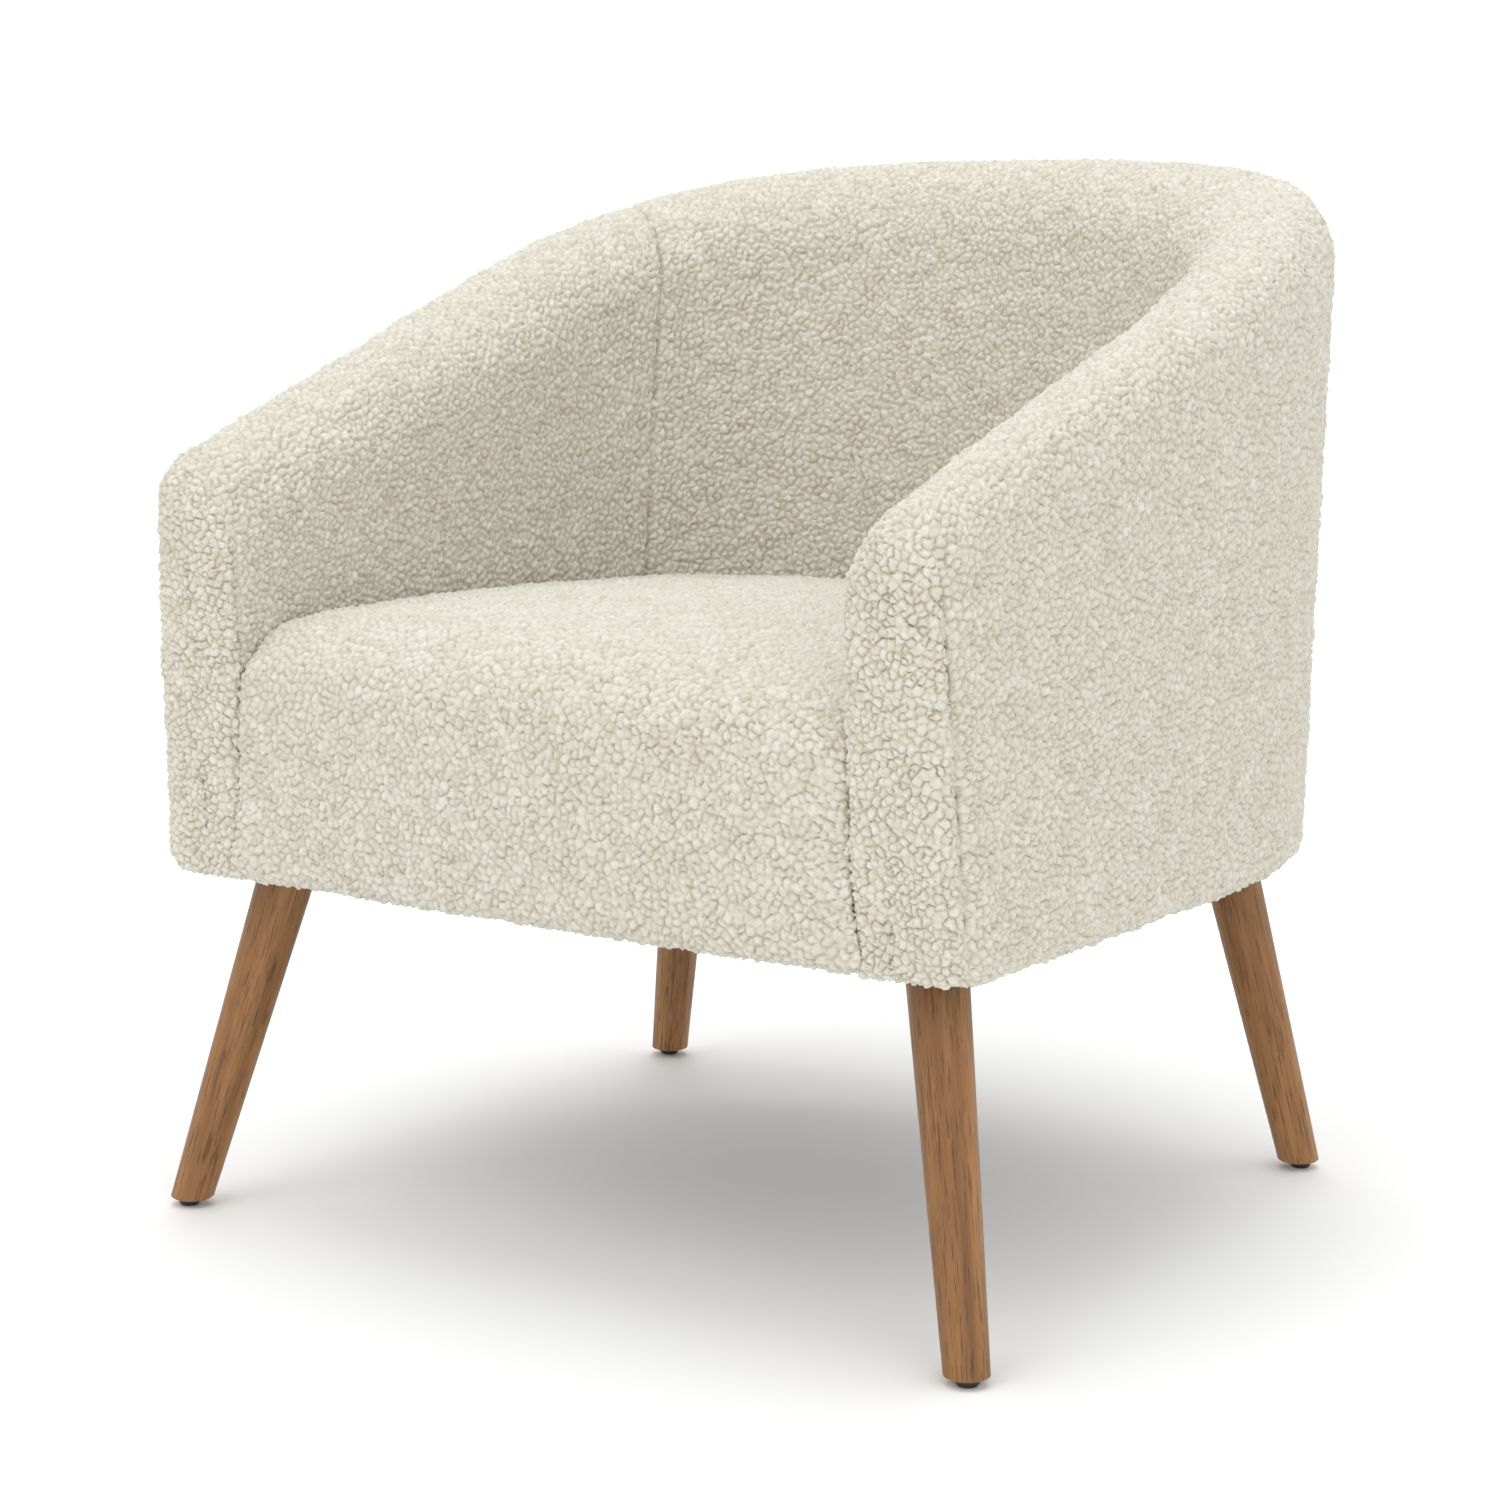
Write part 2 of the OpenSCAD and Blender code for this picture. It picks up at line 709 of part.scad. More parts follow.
module leg_back_left() {
    color(leg_col)
        sides(1) leg(foot_back_x, foot_back_y, splay_back_x, -splay_back_y);
}

module leg_back_right() {
    color(leg_col)
        sides(-1) leg(foot_back_x, foot_back_y, splay_back_x, -splay_back_y);
}

module hanger_bolts() {
    color(steel)
        for (s = [-1, 1])
            sides(s) {
                hanger_bolt(foot_front_x, foot_front_y, splay_front_x, splay_front_y);
                hanger_bolt(foot_back_x, foot_back_y, splay_back_x, -splay_back_y);
            }
}

module block_inserts() {
    color(steel)
        for (s = [-1, 1])
            sides(s) {
                block_insert(foot_front_x, foot_front_y, splay_front_x, splay_front_y);
                block_insert(foot_back_x, foot_back_y, splay_back_x, -splay_back_y);
            }
}

module glide_inserts() {
    color(steel)
        for (s = [-1, 1])
            sides(s) {
                glide_insert(foot_front_x, foot_front_y);
                glide_insert(foot_back_x, foot_back_y);
            }
}

module glide_pad_front_left() {
    color(black)
        sides(1) glide_pad(foot_front_x, foot_front_y);
}

module glide_pad_front_right() {
    color(black)
        sides(-1) glide_pad(foot_front_x, foot_front_y);
}

module glide_pad_back_left() {
    color(black)
        sides(1) glide_pad(foot_back_x, foot_back_y);
}

module glide_pad_back_right() {
    color(black)
        sides(-1) glide_pad(foot_back_x, foot_back_y);
}

module glide_stud_front_left() {
    color(steel)
        sides(1) glide_stud(foot_front_x, foot_front_y);
}

module glide_stud_front_right() {
    color(steel)
        sides(-1) glide_stud(foot_front_x, foot_front_y);
}

module glide_stud_back_left() {
    color(steel)
        sides(1) glide_stud(foot_back_x, foot_back_y);
}

module glide_stud_back_right() {
    color(steel)
        sides(-1) glide_stud(foot_back_x, foot_back_y);
}

module corner_block_front_left() {
    color(timber)
        front_block(1);
}

module corner_block_front_right() {
    color(timber)
        front_block(-1);
}

module corner_block_back_left() {
    color(timber)
        back_block(1);
}

module corner_block_back_right() {
    color(timber)
        back_block(-1);
}

module side_rail_left() {
    color(timber)
        side_rail(1);
}

module side_rail_right() {
    color(timber)
        side_rail(-1);
}

module arm_post_left() {
    color(timber)
        arm_post(1);
}

module arm_post_right() {
    color(timber)
        arm_post(-1);
}

module arm_rail_left() {
    color(timber)
        arm_rail(1);
}

module arm_rail_right() {
    color(timber)
        arm_rail(-1);
}

module back_post_left() {
    color(timber)
        back_post(1);
}

module back_post_right() {
    color(timber)
        back_post(-1);
}

module inside_back_foam() {
    color(foam_col)
        inside_foam(back_stations);
}

module inside_back_cover() {
    color(skin)
        inside_cover(back_stations);
}

module inside_arm_foam_left() {
    color(foam_col)
        inside_foam(arm_side(1));
}

module inside_arm_foam_right() {
    color(foam_col)
        inside_foam(arm_side(-1));
}

module inside_arm_cover_left() {
    color(skin)
        inside_cover(arm_side(1));
}

module inside_arm_cover_right() {
    color(skin)
        inside_cover(arm_side(-1));
}

module arm_front_left() {
    color(skin)
        arm_front(1);
}

module arm_front_right() {
    color(skin)
        arm_front(-1);
}

leg_front_left();
leg_front_right();
leg_back_left();
leg_back_right();
hanger_bolts();
block_inserts();
glide_inserts();
glide_pad_front_left();
glide_pad_front_right();
glide_pad_back_left();
glide_pad_back_right();
glide_stud_front_left();
glide_stud_front_right();
glide_stud_back_left();
glide_stud_back_right();
corner_block_front_left();
corner_block_front_right();
corner_block_back_left();
corner_block_back_right();
front_rail();
side_rail_left();
side_rail_right();
back_rail();
arm_post_left();
arm_post_right();
arm_rail_left();
arm_rail_right();
back_post_left();
back_post_right();
back_slat();
top_rail();
outside_board();
inside_board();
seat_straps_long();
seat_straps_cross();
seat_foam();
seat_cover();
inside_back_foam();
inside_back_cover();
inside_arm_foam_left();
inside_arm_foam_right();
inside_arm_cover_left();
inside_arm_cover_right();
arm_front_left();
arm_front_right();
outside_cover();
dust_cover();
staples();
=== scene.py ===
import math

import bpy
import numpy as np
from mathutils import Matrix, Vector, kdtree


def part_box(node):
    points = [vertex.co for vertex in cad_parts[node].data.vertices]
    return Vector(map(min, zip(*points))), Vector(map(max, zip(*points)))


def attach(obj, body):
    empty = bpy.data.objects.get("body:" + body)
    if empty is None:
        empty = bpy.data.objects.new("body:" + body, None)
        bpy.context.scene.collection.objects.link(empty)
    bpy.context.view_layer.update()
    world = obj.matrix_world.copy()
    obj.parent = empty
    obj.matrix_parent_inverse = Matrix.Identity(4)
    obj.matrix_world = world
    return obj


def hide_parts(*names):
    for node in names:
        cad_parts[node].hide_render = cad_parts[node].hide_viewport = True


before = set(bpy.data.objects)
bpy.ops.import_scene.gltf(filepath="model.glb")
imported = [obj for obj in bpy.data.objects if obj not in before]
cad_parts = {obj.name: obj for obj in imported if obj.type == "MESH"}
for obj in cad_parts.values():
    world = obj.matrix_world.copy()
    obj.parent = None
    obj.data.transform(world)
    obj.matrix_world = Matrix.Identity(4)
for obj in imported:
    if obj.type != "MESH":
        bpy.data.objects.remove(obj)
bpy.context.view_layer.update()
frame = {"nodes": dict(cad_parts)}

# ---- Driving dimensions of the upholstered body, in metres, as in the CAD model ----

RIM_TOP_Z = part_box("inside_back_cover")[1].z
BODY_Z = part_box("outside_cover")[0].z
HALF_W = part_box("outside_cover")[1].x
SEAT_SIDE_GAP = 0.002
HALF_SEAT_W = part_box("seat_cover")[1].x + SEAT_SIDE_GAP
FRONT_Y, FRONT_LEAN, ARM_LEAN, ARM_TOE = -0.342, 0.07, 0.055, 0.006
BACK_Y, BACK_LEAN = 0.306, 0.115
BACK_IN_Y, BACK_IN_LEAN, IN_REF_Z = 0.222, 0.185, 0.425
PLAN_N, PLAN_IN_N = 2.7, 2.5
RIM_MID_Z, RIM_SLOPE = 0.669, 0.323
RIM_OUT_R, RIM_BACK_R, RIM_IN_R, CREST_W = 0.030, 0.044, 0.060, 0.33
CORNER_OUT_R, CORNER_IN_R, CORNER_TOP_R = 0.028, 0.016, 0.032
PANEL_DEPTH, SEAM_Q, TUCK_R, HEM_W = 0.013, 0.72, 0.016, 0.024
RIM_SEAM_DROP = 0.007
COVER_T, FOAM_T, RIM_FOAM_D = 0.004, 0.031, 0.0365
SEAT_Z, SEAT_CROWN, SEAT_FALL = 0.440, 0.014, 0.017
SEAT_FRONT_Y, SEAT_BULGE = -0.346, 0.010
SEAT_ROUND_Y, SEAT_ROUND_Z, SEAT_HEM_W = 0.072, 0.048, 0.034
SEAT_SIDE_R, SEAT_SIDE_SHARE = 0.020, 0.35

# Seat: gap behind and beside it; dip of its upper edges, its width, the height above which it sets in
# and the height in which it does; how far the seat presses on the arms; depth of its seams as a
# share of SEAM_D
SEAT_GAP = 0.001
EDGE_DIP, EDGE_W, EDGE_Z, EDGE_H = 0.006, 0.030, 0.38, 0.05
SEAT_PRESS = 0.0025
SEAT_SEAM_SHARE = 0.5

# Seat: middle and reach of its crown along Y; where its fall to the back starts, and the fall's length;
# height over which its front swells
CROWN_Y, CROWN_REACH = -0.080, 0.300
FALL_Y, FALL_LENGTH = -0.150, 0.372
SWELL_H = 0.120

WALL_T = HALF_W - HALF_SEAT_W
WALL_FOOT_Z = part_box("inside_back_cover")[0].z
SEAT_HALF = HALF_SEAT_W - SEAT_SIDE_GAP
RIM_BACK_Y = BACK_Y + BACK_LEAN * (RIM_TOP_Z - BODY_Z)
RIM_SAG = (RIM_MID_Z + RIM_SLOPE * RIM_BACK_Y - RIM_TOP_Z) / RIM_BACK_Y**2

# Heights at which lengths along the wall are turned into stations: for the rim's corner, for the
# arms' front panels, and for spacing the stations evenly
CORNER_REF_Z, PANEL_REF_Z, SPACING_REF_Z = 0.6, 0.5, 0.55

# Station at which the rounding outside the rim has shrunk to that of the arms, and the change's length
ROUND_END_Q, ROUND_CHANGE_Q = 1.3, 0.6

# Distance between the mesh points of the pile; the hidden side has one point for every COARSE of them
STEP = 0.0011
COARSE = 4

# Pile: distance between curls on the outside and, finer, on the inside; depth below the rim at which
# the finer curls start to widen, and the height in which they do; the pile's height, and how deep
# its foot lies; depth and half width of the seams, and how much the pile is flattened in them
CURL, CURL_INSIDE = 0.0057, 0.0055
FINE_Z, FINE_H = 0.09, 0.07
PILE_H, PILE_SINK = 0.0037, 0.0013
SEAM_D, SEAM_W, SEAM_FLAT = 0.0030, 0.008, 0.35

# Curls: range of the gaps between them, as a share of the mean; share of its gap that each one keeps
# free; range of their heights, as a share of PILE_H; how far and in what wavelength their outlines
# waver
GAP_RANGE, KEPT_FREE = (0.74, 1.26), 0.8
TALL_RANGE = (0.65, 1.0)
WAVER, WAVER_LENGTH = 0.0006, 0.0050

# Partings between curls: width as a share of the gap, steepness, and the depth of the shallowest
PARTING_W, PARTING_POWER, PARTING_LEAST = 0.85, 1.6, 0.45

# Unevenness: of each loop and over a few curls, as shares of the pile's height, and of the surface
# under them, in metres, each with its wavelength
LOBE, LOBE_LENGTH = 0.11, 0.0028
DRIFT, DRIFT_LENGTH = 0.13, 0.03
UNEVEN, UNEVEN_LENGTH = 0.0006, 0.09

# Seam between the back and an arm: its depth as a share of SEAM_D
BACK_SEAM_SHARE = 0.75

# Seams beside the arms' front panels: how much shallower they are inside, and the width of that change;
# the depth below the rim at which they start to fade out, and the height in which they do
INSIDE_SEAM_LESS, INSIDE_SEAM_W = 0.55, 0.020
SEAM_FADE_Z, SEAM_FADE_H = 0.060, 0.035

# How far the pile stands below the hems, where the dust cover presses it flat, and how near to the
# body's lower edge a point belongs to a hem
PRESSED, HEM_NEAR = 0.0008, 0.0003

# How full the padding is, from 0, slack, to 1, tight
FILL_INSIDE, FILL_OUTSIDE, FILL_SEAT, FILL_FRONT = 0.85, 1.0, 0.8, 0.9

# An arm's closed outline: the share of the wall's thickness at which it starts below, and the cut of
# its inner lower corner
LOOP_START, LOOP_CORNER = 0.6, 0.005

# An arm's front panel: how far behind its seam it starts; its rounding below; how far its two halves
# run past its middle line, across each other, and how near the line they begin to; how far that line
# ends above the panel's lower end and below its upper end
FACE_START, FACE_EDGE_R = 0.0015, 0.010
FACE_LAP, FACE_LAP_W = 0.001, 0.010
FACE_LOW, FACE_HIGH = 0.040, 0.045

# Lengths by which the front panel's points are counted: around its outline, from behind the seam to
# the flat face, and from there to the middle line; how far its hidden side lies behind; its seam's
# extra depth; how nearly its hidden side closes
FACE_AROUND, FACE_OUT, FACE_ACROSS = 1.05, 0.055, 0.045
FACE_BEHIND, FACE_ROLL, FACE_CLOSED = 0.004, 0.0010, 0.97

# Dust cover: its inset from the outside, a little less at the sides, so that the curve of its back
# reaches them; its cut corners; its slack between the staples
DUST_INSET, DUST_SIDE_INSET = 0.017, 0.0169
DUST_CORNER, DUST_SLACK = 0.014, 0.0012

# Dust cover: its least length along Y; steepness of its slack at the edges, the slack's mean share
# and its wavelength
DUST_LEAST_Y = 0.25
SLACK_STEEP, SLACK_MEAN, SLACK_LENGTH = 6, 0.6, 0.12

# Thickness of the slices at a leg's ends from which its axis is found
LEG_SLICE = 0.002

# ---- Camera ----

CAMERA_AT = (1.3828, -2.0825, 0.7551)
CAMERA_TOWARDS = (-0.5603, 0.8110, -0.1687)
LENS_MM, SENSOR_MM = 81.6, 36.0


def lift(v, e):
    """v to the power e, and 0 where v is negative."""
    return np.maximum(v, 0) ** e


def setback(r, d):
    """Setback of a rounded corner of radius r at distance d from the face."""
    d = np.clip(d, 0, r)
    return r - np.sqrt(np.maximum(0, r * r - (r - d) ** 2))


def smooth(t):
    """Smooth step from 0 at t = 0 to 1 at t = 1."""
    t = np.clip(t, 0, 1)
    return t * t * (3 - 2 * t)


# ---- Shape of the walls ----
# Stations q run along the wall: 0 in the middle of the back, 1 where an arm's straight part begins,
# and 2 at the arm's front. They are positive on the sitter's left and negative on the right.


def face_y(z):
    """Y of the arms' front faces at height z."""
    return FRONT_Y - FRONT_LEAN * (z - BODY_Z)


def outer_pt(q, z):
    """X without its sign, and Y, of the wall's outside at station q and height z."""
    a = np.abs(q)
    y_out = BACK_Y + BACK_LEAN * (z - BODY_Z)
    t = np.radians(90 * np.minimum(a, 1))
    arm = np.maximum(a - 1, 0)
    lean = ARM_LEAN * arm * (z - BODY_Z) + ARM_TOE * arm**1.5
    x_arm = HALF_W - lean - setback(CORNER_OUT_R, (2 - a) * np.abs(face_y(z)))
    x = np.where(a <= 1, HALF_W * lift(np.sin(t), 2 / PLAN_N), x_arm)
    y = np.where(a <= 1, y_out * lift(np.cos(t), 2 / PLAN_N), (a - 1) * face_y(z))
    return x, y


def inner_pt(q, z):
    """X without its sign, and Y, of the wall's inside at station q and height z."""
    a = np.abs(q)
    y_in = BACK_IN_Y + BACK_IN_LEAN * (z - IN_REF_Z)
    t = np.radians(90 * np.minimum(a, 1))
    x_arm = HALF_SEAT_W + setback(CORNER_IN_R, (2 - a) * np.abs(face_y(z)))
    x = np.where(a <= 1, HALF_SEAT_W * lift(np.sin(t), 2 / PLAN_IN_N), x_arm)
    y = np.where(a <= 1, y_in * lift(np.cos(t), 2 / PLAN_IN_N), (a - 1) * face_y(z))
    return x, y


def wall_pt(q, w, z):
    """Points of the wall at station q, share w of its thickness from the outside, and height z."""
    q, w, z = np.broadcast_arrays(q, w, z)
    (xo, yo), (xi, yi) = outer_pt(q, z), inner_pt(q, z)
    x = np.where(q < 0, -1, 1) * (xo * (1 - w) + xi * w)
    return np.stack([x, yo * (1 - w) + yi * w, z], -1)


def rim_at(q):
    """Height of the rim at station q, with its rounded corner at the front."""
    y = outer_pt(q, RIM_TOP_Z)[1]
    z = RIM_MID_Z + RIM_SLOPE * y - np.where(y > 0, RIM_SAG * y * y, 0)
    front = (2 - np.abs(q)) * abs(face_y(CORNER_REF_Z))
    return z - np.where(np.abs(q) > 1, setback(CORNER_TOP_R, front), 0)


def rim_out_r(q):
    """Height of the rounding outside the rim: larger around the back than on the arms."""
    return RIM_OUT_R + (RIM_BACK_R - RIM_OUT_R) * smooth((ROUND_END_Q - np.abs(q)) / ROUND_CHANGE_Q)


def arm_q(d):
    """Station at the distance d behind an arm's front face."""
    return 2 - d / abs(face_y(PANEL_REF_Z))


def stations(q0, q1, step=None):
    """Stations from q0 to q1, evenly spaced along the outside of the wall."""
    q = np.linspace(q0, q1, 4000)
    p = wall_pt(q, 0, SPACING_REF_Z)
    length = np.concatenate([[0], np.cumsum(np.linalg.norm(np.diff(p, axis=0), axis=1))])
    n = grid_count(length[-1], step)
    return np.interp(np.linspace(0, length[-1], n), length, q)


def grid_count(length, step=None):
    """Number of points along length, so that every COARSE-th point reaches both ends."""
    return COARSE * max(1, math.ceil(length / (step or STEP) / COARSE)) + 1


def resample(points, n, alike=False):
    """n points along each column's polyline; points has the shape (k, columns, 3).
    They are evenly spaced on each column, or, if alike, on the columns' mean."""
    seg = np.linalg.norm(np.diff(points, axis=0), axis=2)
    if alike:
        seg[:] = seg.mean(1, keepdims=True)
    run = np.concatenate([np.zeros((1, seg.shape[1])), np.cumsum(seg, 0)])
    out = np.empty((n, points.shape[1], 3))
    for c in range(points.shape[1]):
        at = np.linspace(0, run[-1, c], n)
        for k in range(3):
            out[:, c, k] = np.interp(at, run[:, c], points[:, c, k])
    return out


def arc(n):
    """A column of n angles from 0 to a right angle."""
    return np.linspace(0, math.pi / 2, n)[:, None]


def rim_section(q, z0, di, dt, dq):
    """The wall's section over the rim, from the foot inside to the seam outside.
    di, dt and dq are the depths below the inside face, the crest and the outside face."""
    q = q[None, :]
    zr = rim_at(q)
    hi, ho = (1 - CREST_W) * WALL_T - di, CREST_W * WALL_T - dq
    a, b = arc(40), arc(20)
    straight = np.linspace(0, 1, 60)[:, None]
    foot = wall_pt(q, 1 - di / WALL_T, z0 + (zr - RIM_IN_R - z0) * straight)
    over_in = wall_pt(q, CREST_W + hi * np.cos(a) / WALL_T, zr - RIM_IN_R + (RIM_IN_R - dt) * np.sin(a))
    r = rim_out_r(q)
    over_out = wall_pt(q, CREST_W - ho * np.sin(b) / WALL_T, zr - r + (r - dt) * np.cos(b))
    end = wall_pt(q, dq / WALL_T, zr - r - RIM_SEAM_DROP)
    return np.concatenate([foot[:-1], over_in[:-1], over_out, end])


def side_section(q, d):
    """The outside cover's section, from its hem under the rails up to the seam below the rim."""
    q = q[None, :]
    r = TUCK_R - d
    a = arc(16)
    hem = wall_pt(q, HEM_W / WALL_T, BODY_Z + d)
    tuck = wall_pt(q, (TUCK_R - r * np.sin(a)) / WALL_T, BODY_Z + TUCK_R - r * np.cos(a))
    z1 = rim_at(q) - rim_out_r(q) - RIM_SEAM_DROP
    up = np.linspace(0, 1, 40)[1:, None]
    side = wall_pt(q, d / WALL_T, (BODY_Z + TUCK_R) + (z1 - BODY_Z - TUCK_R) * up)
    return np.concatenate([hem, tuck, side])


# ---- Shape of the seat ----


def seat_back_y(x, z):
    """Y of the seat's back edge, which follows the inside of the back."""
    y_in = BACK_IN_Y + BACK_IN_LEAN * (z - IN_REF_Z) - SEAT_GAP
    share = lift(np.abs(x) / (HALF_SEAT_W - SEAT_GAP), PLAN_IN_N)
    return y_in * lift(1 - share, 1 / PLAN_IN_N) - SEAT_GAP


def across(x):
    """Share of the crown at x: 1 in the middle, 0 at the seat's sides."""
    return 1 - lift(np.abs(x) / SEAT_HALF, 2)


def seat_top(x, y):
    """Height of the seat's top, crowned in the middle and lower towards the back."""
    crown = lift(across(x), 0.8) * lift(1 - lift(np.abs(y - CROWN_Y) / CROWN_REACH, 2), 0.7)
    return SEAT_Z - SEAT_FALL * np.maximum(0, (y - FALL_Y) / FALL_LENGTH) + SEAT_CROWN * crown


def seat_face(x, z, d):
    """Y of the seat's front, d behind its surface, rounded back at the sides."""
    rise = np.sin(np.radians(90 * np.clip((z - BODY_Z) / SWELL_H, 0, 1)))
    side = SEAT_SIDE_SHARE * setback(SEAT_SIDE_R, SEAT_HALF - np.abs(x))
    return SEAT_FRONT_Y + d + side - SEAT_BULGE * across(x) * rise


def seat_section(x, d):
    """The seat's section from the back, over the front edge and down to the hem, d below the surface."""
    x = x[None, :]
    yr = SEAT_FRONT_Y + SEAT_ROUND_Y
    zr = seat_top(x, yr) - SEAT_ROUND_Z
    yf = seat_face(x, zr, 0)
    r = TUCK_R - d
    a, b = arc(24), arc(12)
    yb = seat_back_y(x, SEAT_Z - SEAT_FALL)
    y = yb + (yr - yb) * np.linspace(0, 1, 60)[:-1, None]
    z = zr + (BODY_Z + TUCK_R - zr) * np.linspace(0, 1, 20)[1:-1, None]
    low = seat_face(x, BODY_Z + TUCK_R, 0) + TUCK_R
    rows = [
        (y, seat_top(x, y) - d),
        (yr - (yr - yf - d) * np.sin(a), zr + (SEAT_ROUND_Z - d) * np.cos(a)),
        (seat_face(x, z, d), z),
        (low - r * np.cos(b), BODY_Z + TUCK_R - r * np.sin(b)),
        (np.full_like(x, SEAT_FRONT_Y + SEAT_HEM_W), np.full_like(x, BODY_Z + d)),
    ]
    parts = [np.stack([np.broadcast_to(x, yy.shape), yy, np.broadcast_to(zz, yy.shape)], -1)
             for yy, zz in rows]
    return np.concatenate(parts)


# ---- Pile: small curls, packed closely over a surface ----


def normals(p, flip):
    """Unit normals of a grid. The last row takes those of the row before it, because on the arms'
    fronts it is drawn together to a line."""
    n = np.cross(np.gradient(p, axis=0), np.gradient(p, axis=1))
    n /= np.maximum(np.linalg.norm(n, axis=2, keepdims=True), 1e-12)
    n[-1] = n[-2]
    return -n if flip else n


def waves(p, length, rng, count=7):
    """Gentle random unevenness of about that wavelength, mostly between -1 and 1."""
    d = rng.normal(size=(count, 3))
    size = np.linalg.norm(d, axis=1, keepdims=True)
    d *= (2 * math.pi / length * rng.uniform(0.7, 1.5, (count, 1))) / size
    return np.sin(p @ d.T + rng.uniform(0, 2 * math.pi, count)).sum(1) / math.sqrt(count)


def search_tree(points):
    tree = kdtree.KDTree(len(points))
    for i, c in enumerate(points):
        tree.insert(c, i)
    tree.balance()
    return tree


class Pile:
    """The curls of the pile over the whole chair, so that they run on across the joins of the panels."""

    def __init__(self, panels, rng):
        points = np.concatenate([p.base[::2, ::2].reshape(-1, 3) for p in panels])
        gap = np.concatenate([p.spacing[::2, ::2].ravel() for p in panels])
        gap = gap * rng.uniform(*GAP_RANGE, len(gap))
        tree = search_tree(points)
        free = np.ones(len(points), bool)
        chosen = []
        for i in rng.permutation(len(points)):
            if free[i]:
                for _, j, _ in tree.find_range(points[i], KEPT_FREE * gap[i]):
                    free[j] = False
                chosen.append(i)
        self.centres, self.gap = points[chosen], gap[chosen]
        self.tree = search_tree(self.centres)
        self.size = (self.gap / CURL) ** 0.7
        self.tall = rng.uniform(*TALL_RANGE, len(chosen)) * self.size
        self.tint = rng.random(len(chosen))
        self.code = rng.random(len(chosen))
        self.seed = int(rng.integers(1 << 30))

    def over(self, p):
        """At the points p: relative height of the pile, depth between curls, tint of the curl, and
        the slow unevenness of the surface in metres."""
        rng = np.random.default_rng(self.seed)
        bend = np.stack([waves(p, WAVER_LENGTH, rng) for _ in range(3)], 1) * WAVER
        found = [self.tree.find_n(v, 2) for v in p + bend]
        i1 = np.array([a[1] for a, _ in found])
        i2 = np.array([b[1] for _, b in found])
        d1 = np.array([a[2] for a, _ in found]) / self.size[i1]
        d2 = np.array([b[2] for _, b in found]) / self.size[i2]
        edge = np.clip((d2 - d1) / (PARTING_W * self.gap[i1]), 0, 1)
        pair = np.abs(2 * ((self.code[i1] + self.code[i2]) % 1) - 1)
        parted = PARTING_LEAST + (1 - PARTING_LEAST) * pair
        cleft = (1 - edge) ** PARTING_POWER * parted
        lobes = LOBE * waves(p, LOBE_LENGTH, rng) + DRIFT * waves(p, DRIFT_LENGTH, rng)
        uneven = UNEVEN * waves(p, UNEVEN_LENGTH, rng)
        return (1 - cleft) * self.tall[i1] + lobes, cleft, self.tint[i1], uneven


# ---- Meshes ----


def strip(fine, coarse):
    """Triangles between an edge's fine points and the coarse points behind it."""
    faces = []
    for k in range(len(coarse) - 1):
        for i in range(COARSE):
            f = k * COARSE + i
            faces.append((fine[f], fine[f + 1], coarse[k + (i >= COARSE // 2)]))
        faces.append((fine[k * COARSE + COARSE // 2], coarse[k + 1], coarse[k]))
    return faces


def quads(index):
    """Quads between the neighbours in a grid of vertex numbers."""
    a, b, c, d = index[:-1, :-1], index[1:, :-1], index[1:, 1:], index[:-1, 1:]
    return np.stack([a, b, c, d], -1).reshape(-1, 4)


def make_mesh(name, verts, faces):
    mesh = bpy.data.meshes.new(name)
    mesh.from_pydata(verts.tolist(), [], faces)
    mesh.validate()
    mesh.shade_smooth()
    obj = bpy.data.objects.new(name, mesh)
    bpy.context.scene.collection.objects.link(obj)
    return obj


def closed_piece(name, top, under, flip):
    """A closed mesh from a fine grid of points and the coarse grid behind it."""
    n, m = top.shape[:2]
    a, b = under.shape[:2]
    ti = np.arange(n * m).reshape(n, m)
    ui = n * m + np.arange(a * b).reshape(a, b)
    faces = quads(ti)[:, ::-1].tolist() + quads(ui).tolist()
    edges = (strip(ti[0, ::-1], ui[0, ::-1]) + strip(ti[-1], ui[-1])
             + strip(ti[:, 0], ui[:, 0]) + strip(ti[::-1, -1], ui[::-1, -1]))
    faces += [f[::-1] for f in edges]
    if flip:
        faces = [f[::-1] for f in faces]
    obj = make_mesh(name, np.concatenate([top.reshape(-1, 3), under.reshape(-1, 3)]), faces)
    rim = np.zeros(len(obj.data.vertices), bool)
    rim[np.concatenate([ti[0], ti[-1], ti[:, 0], ti[:, -1]])] = True
    ends = np.empty(2 * len(obj.data.edges), np.int32)
    obj.data.edges.foreach_get("vertices", ends)
    sharp = rim[ends.reshape(-1, 2)].all(1)
    obj.data.attributes.new("sharp_edge", "BOOLEAN", "EDGE").data.foreach_set("value", sharp)
    return obj


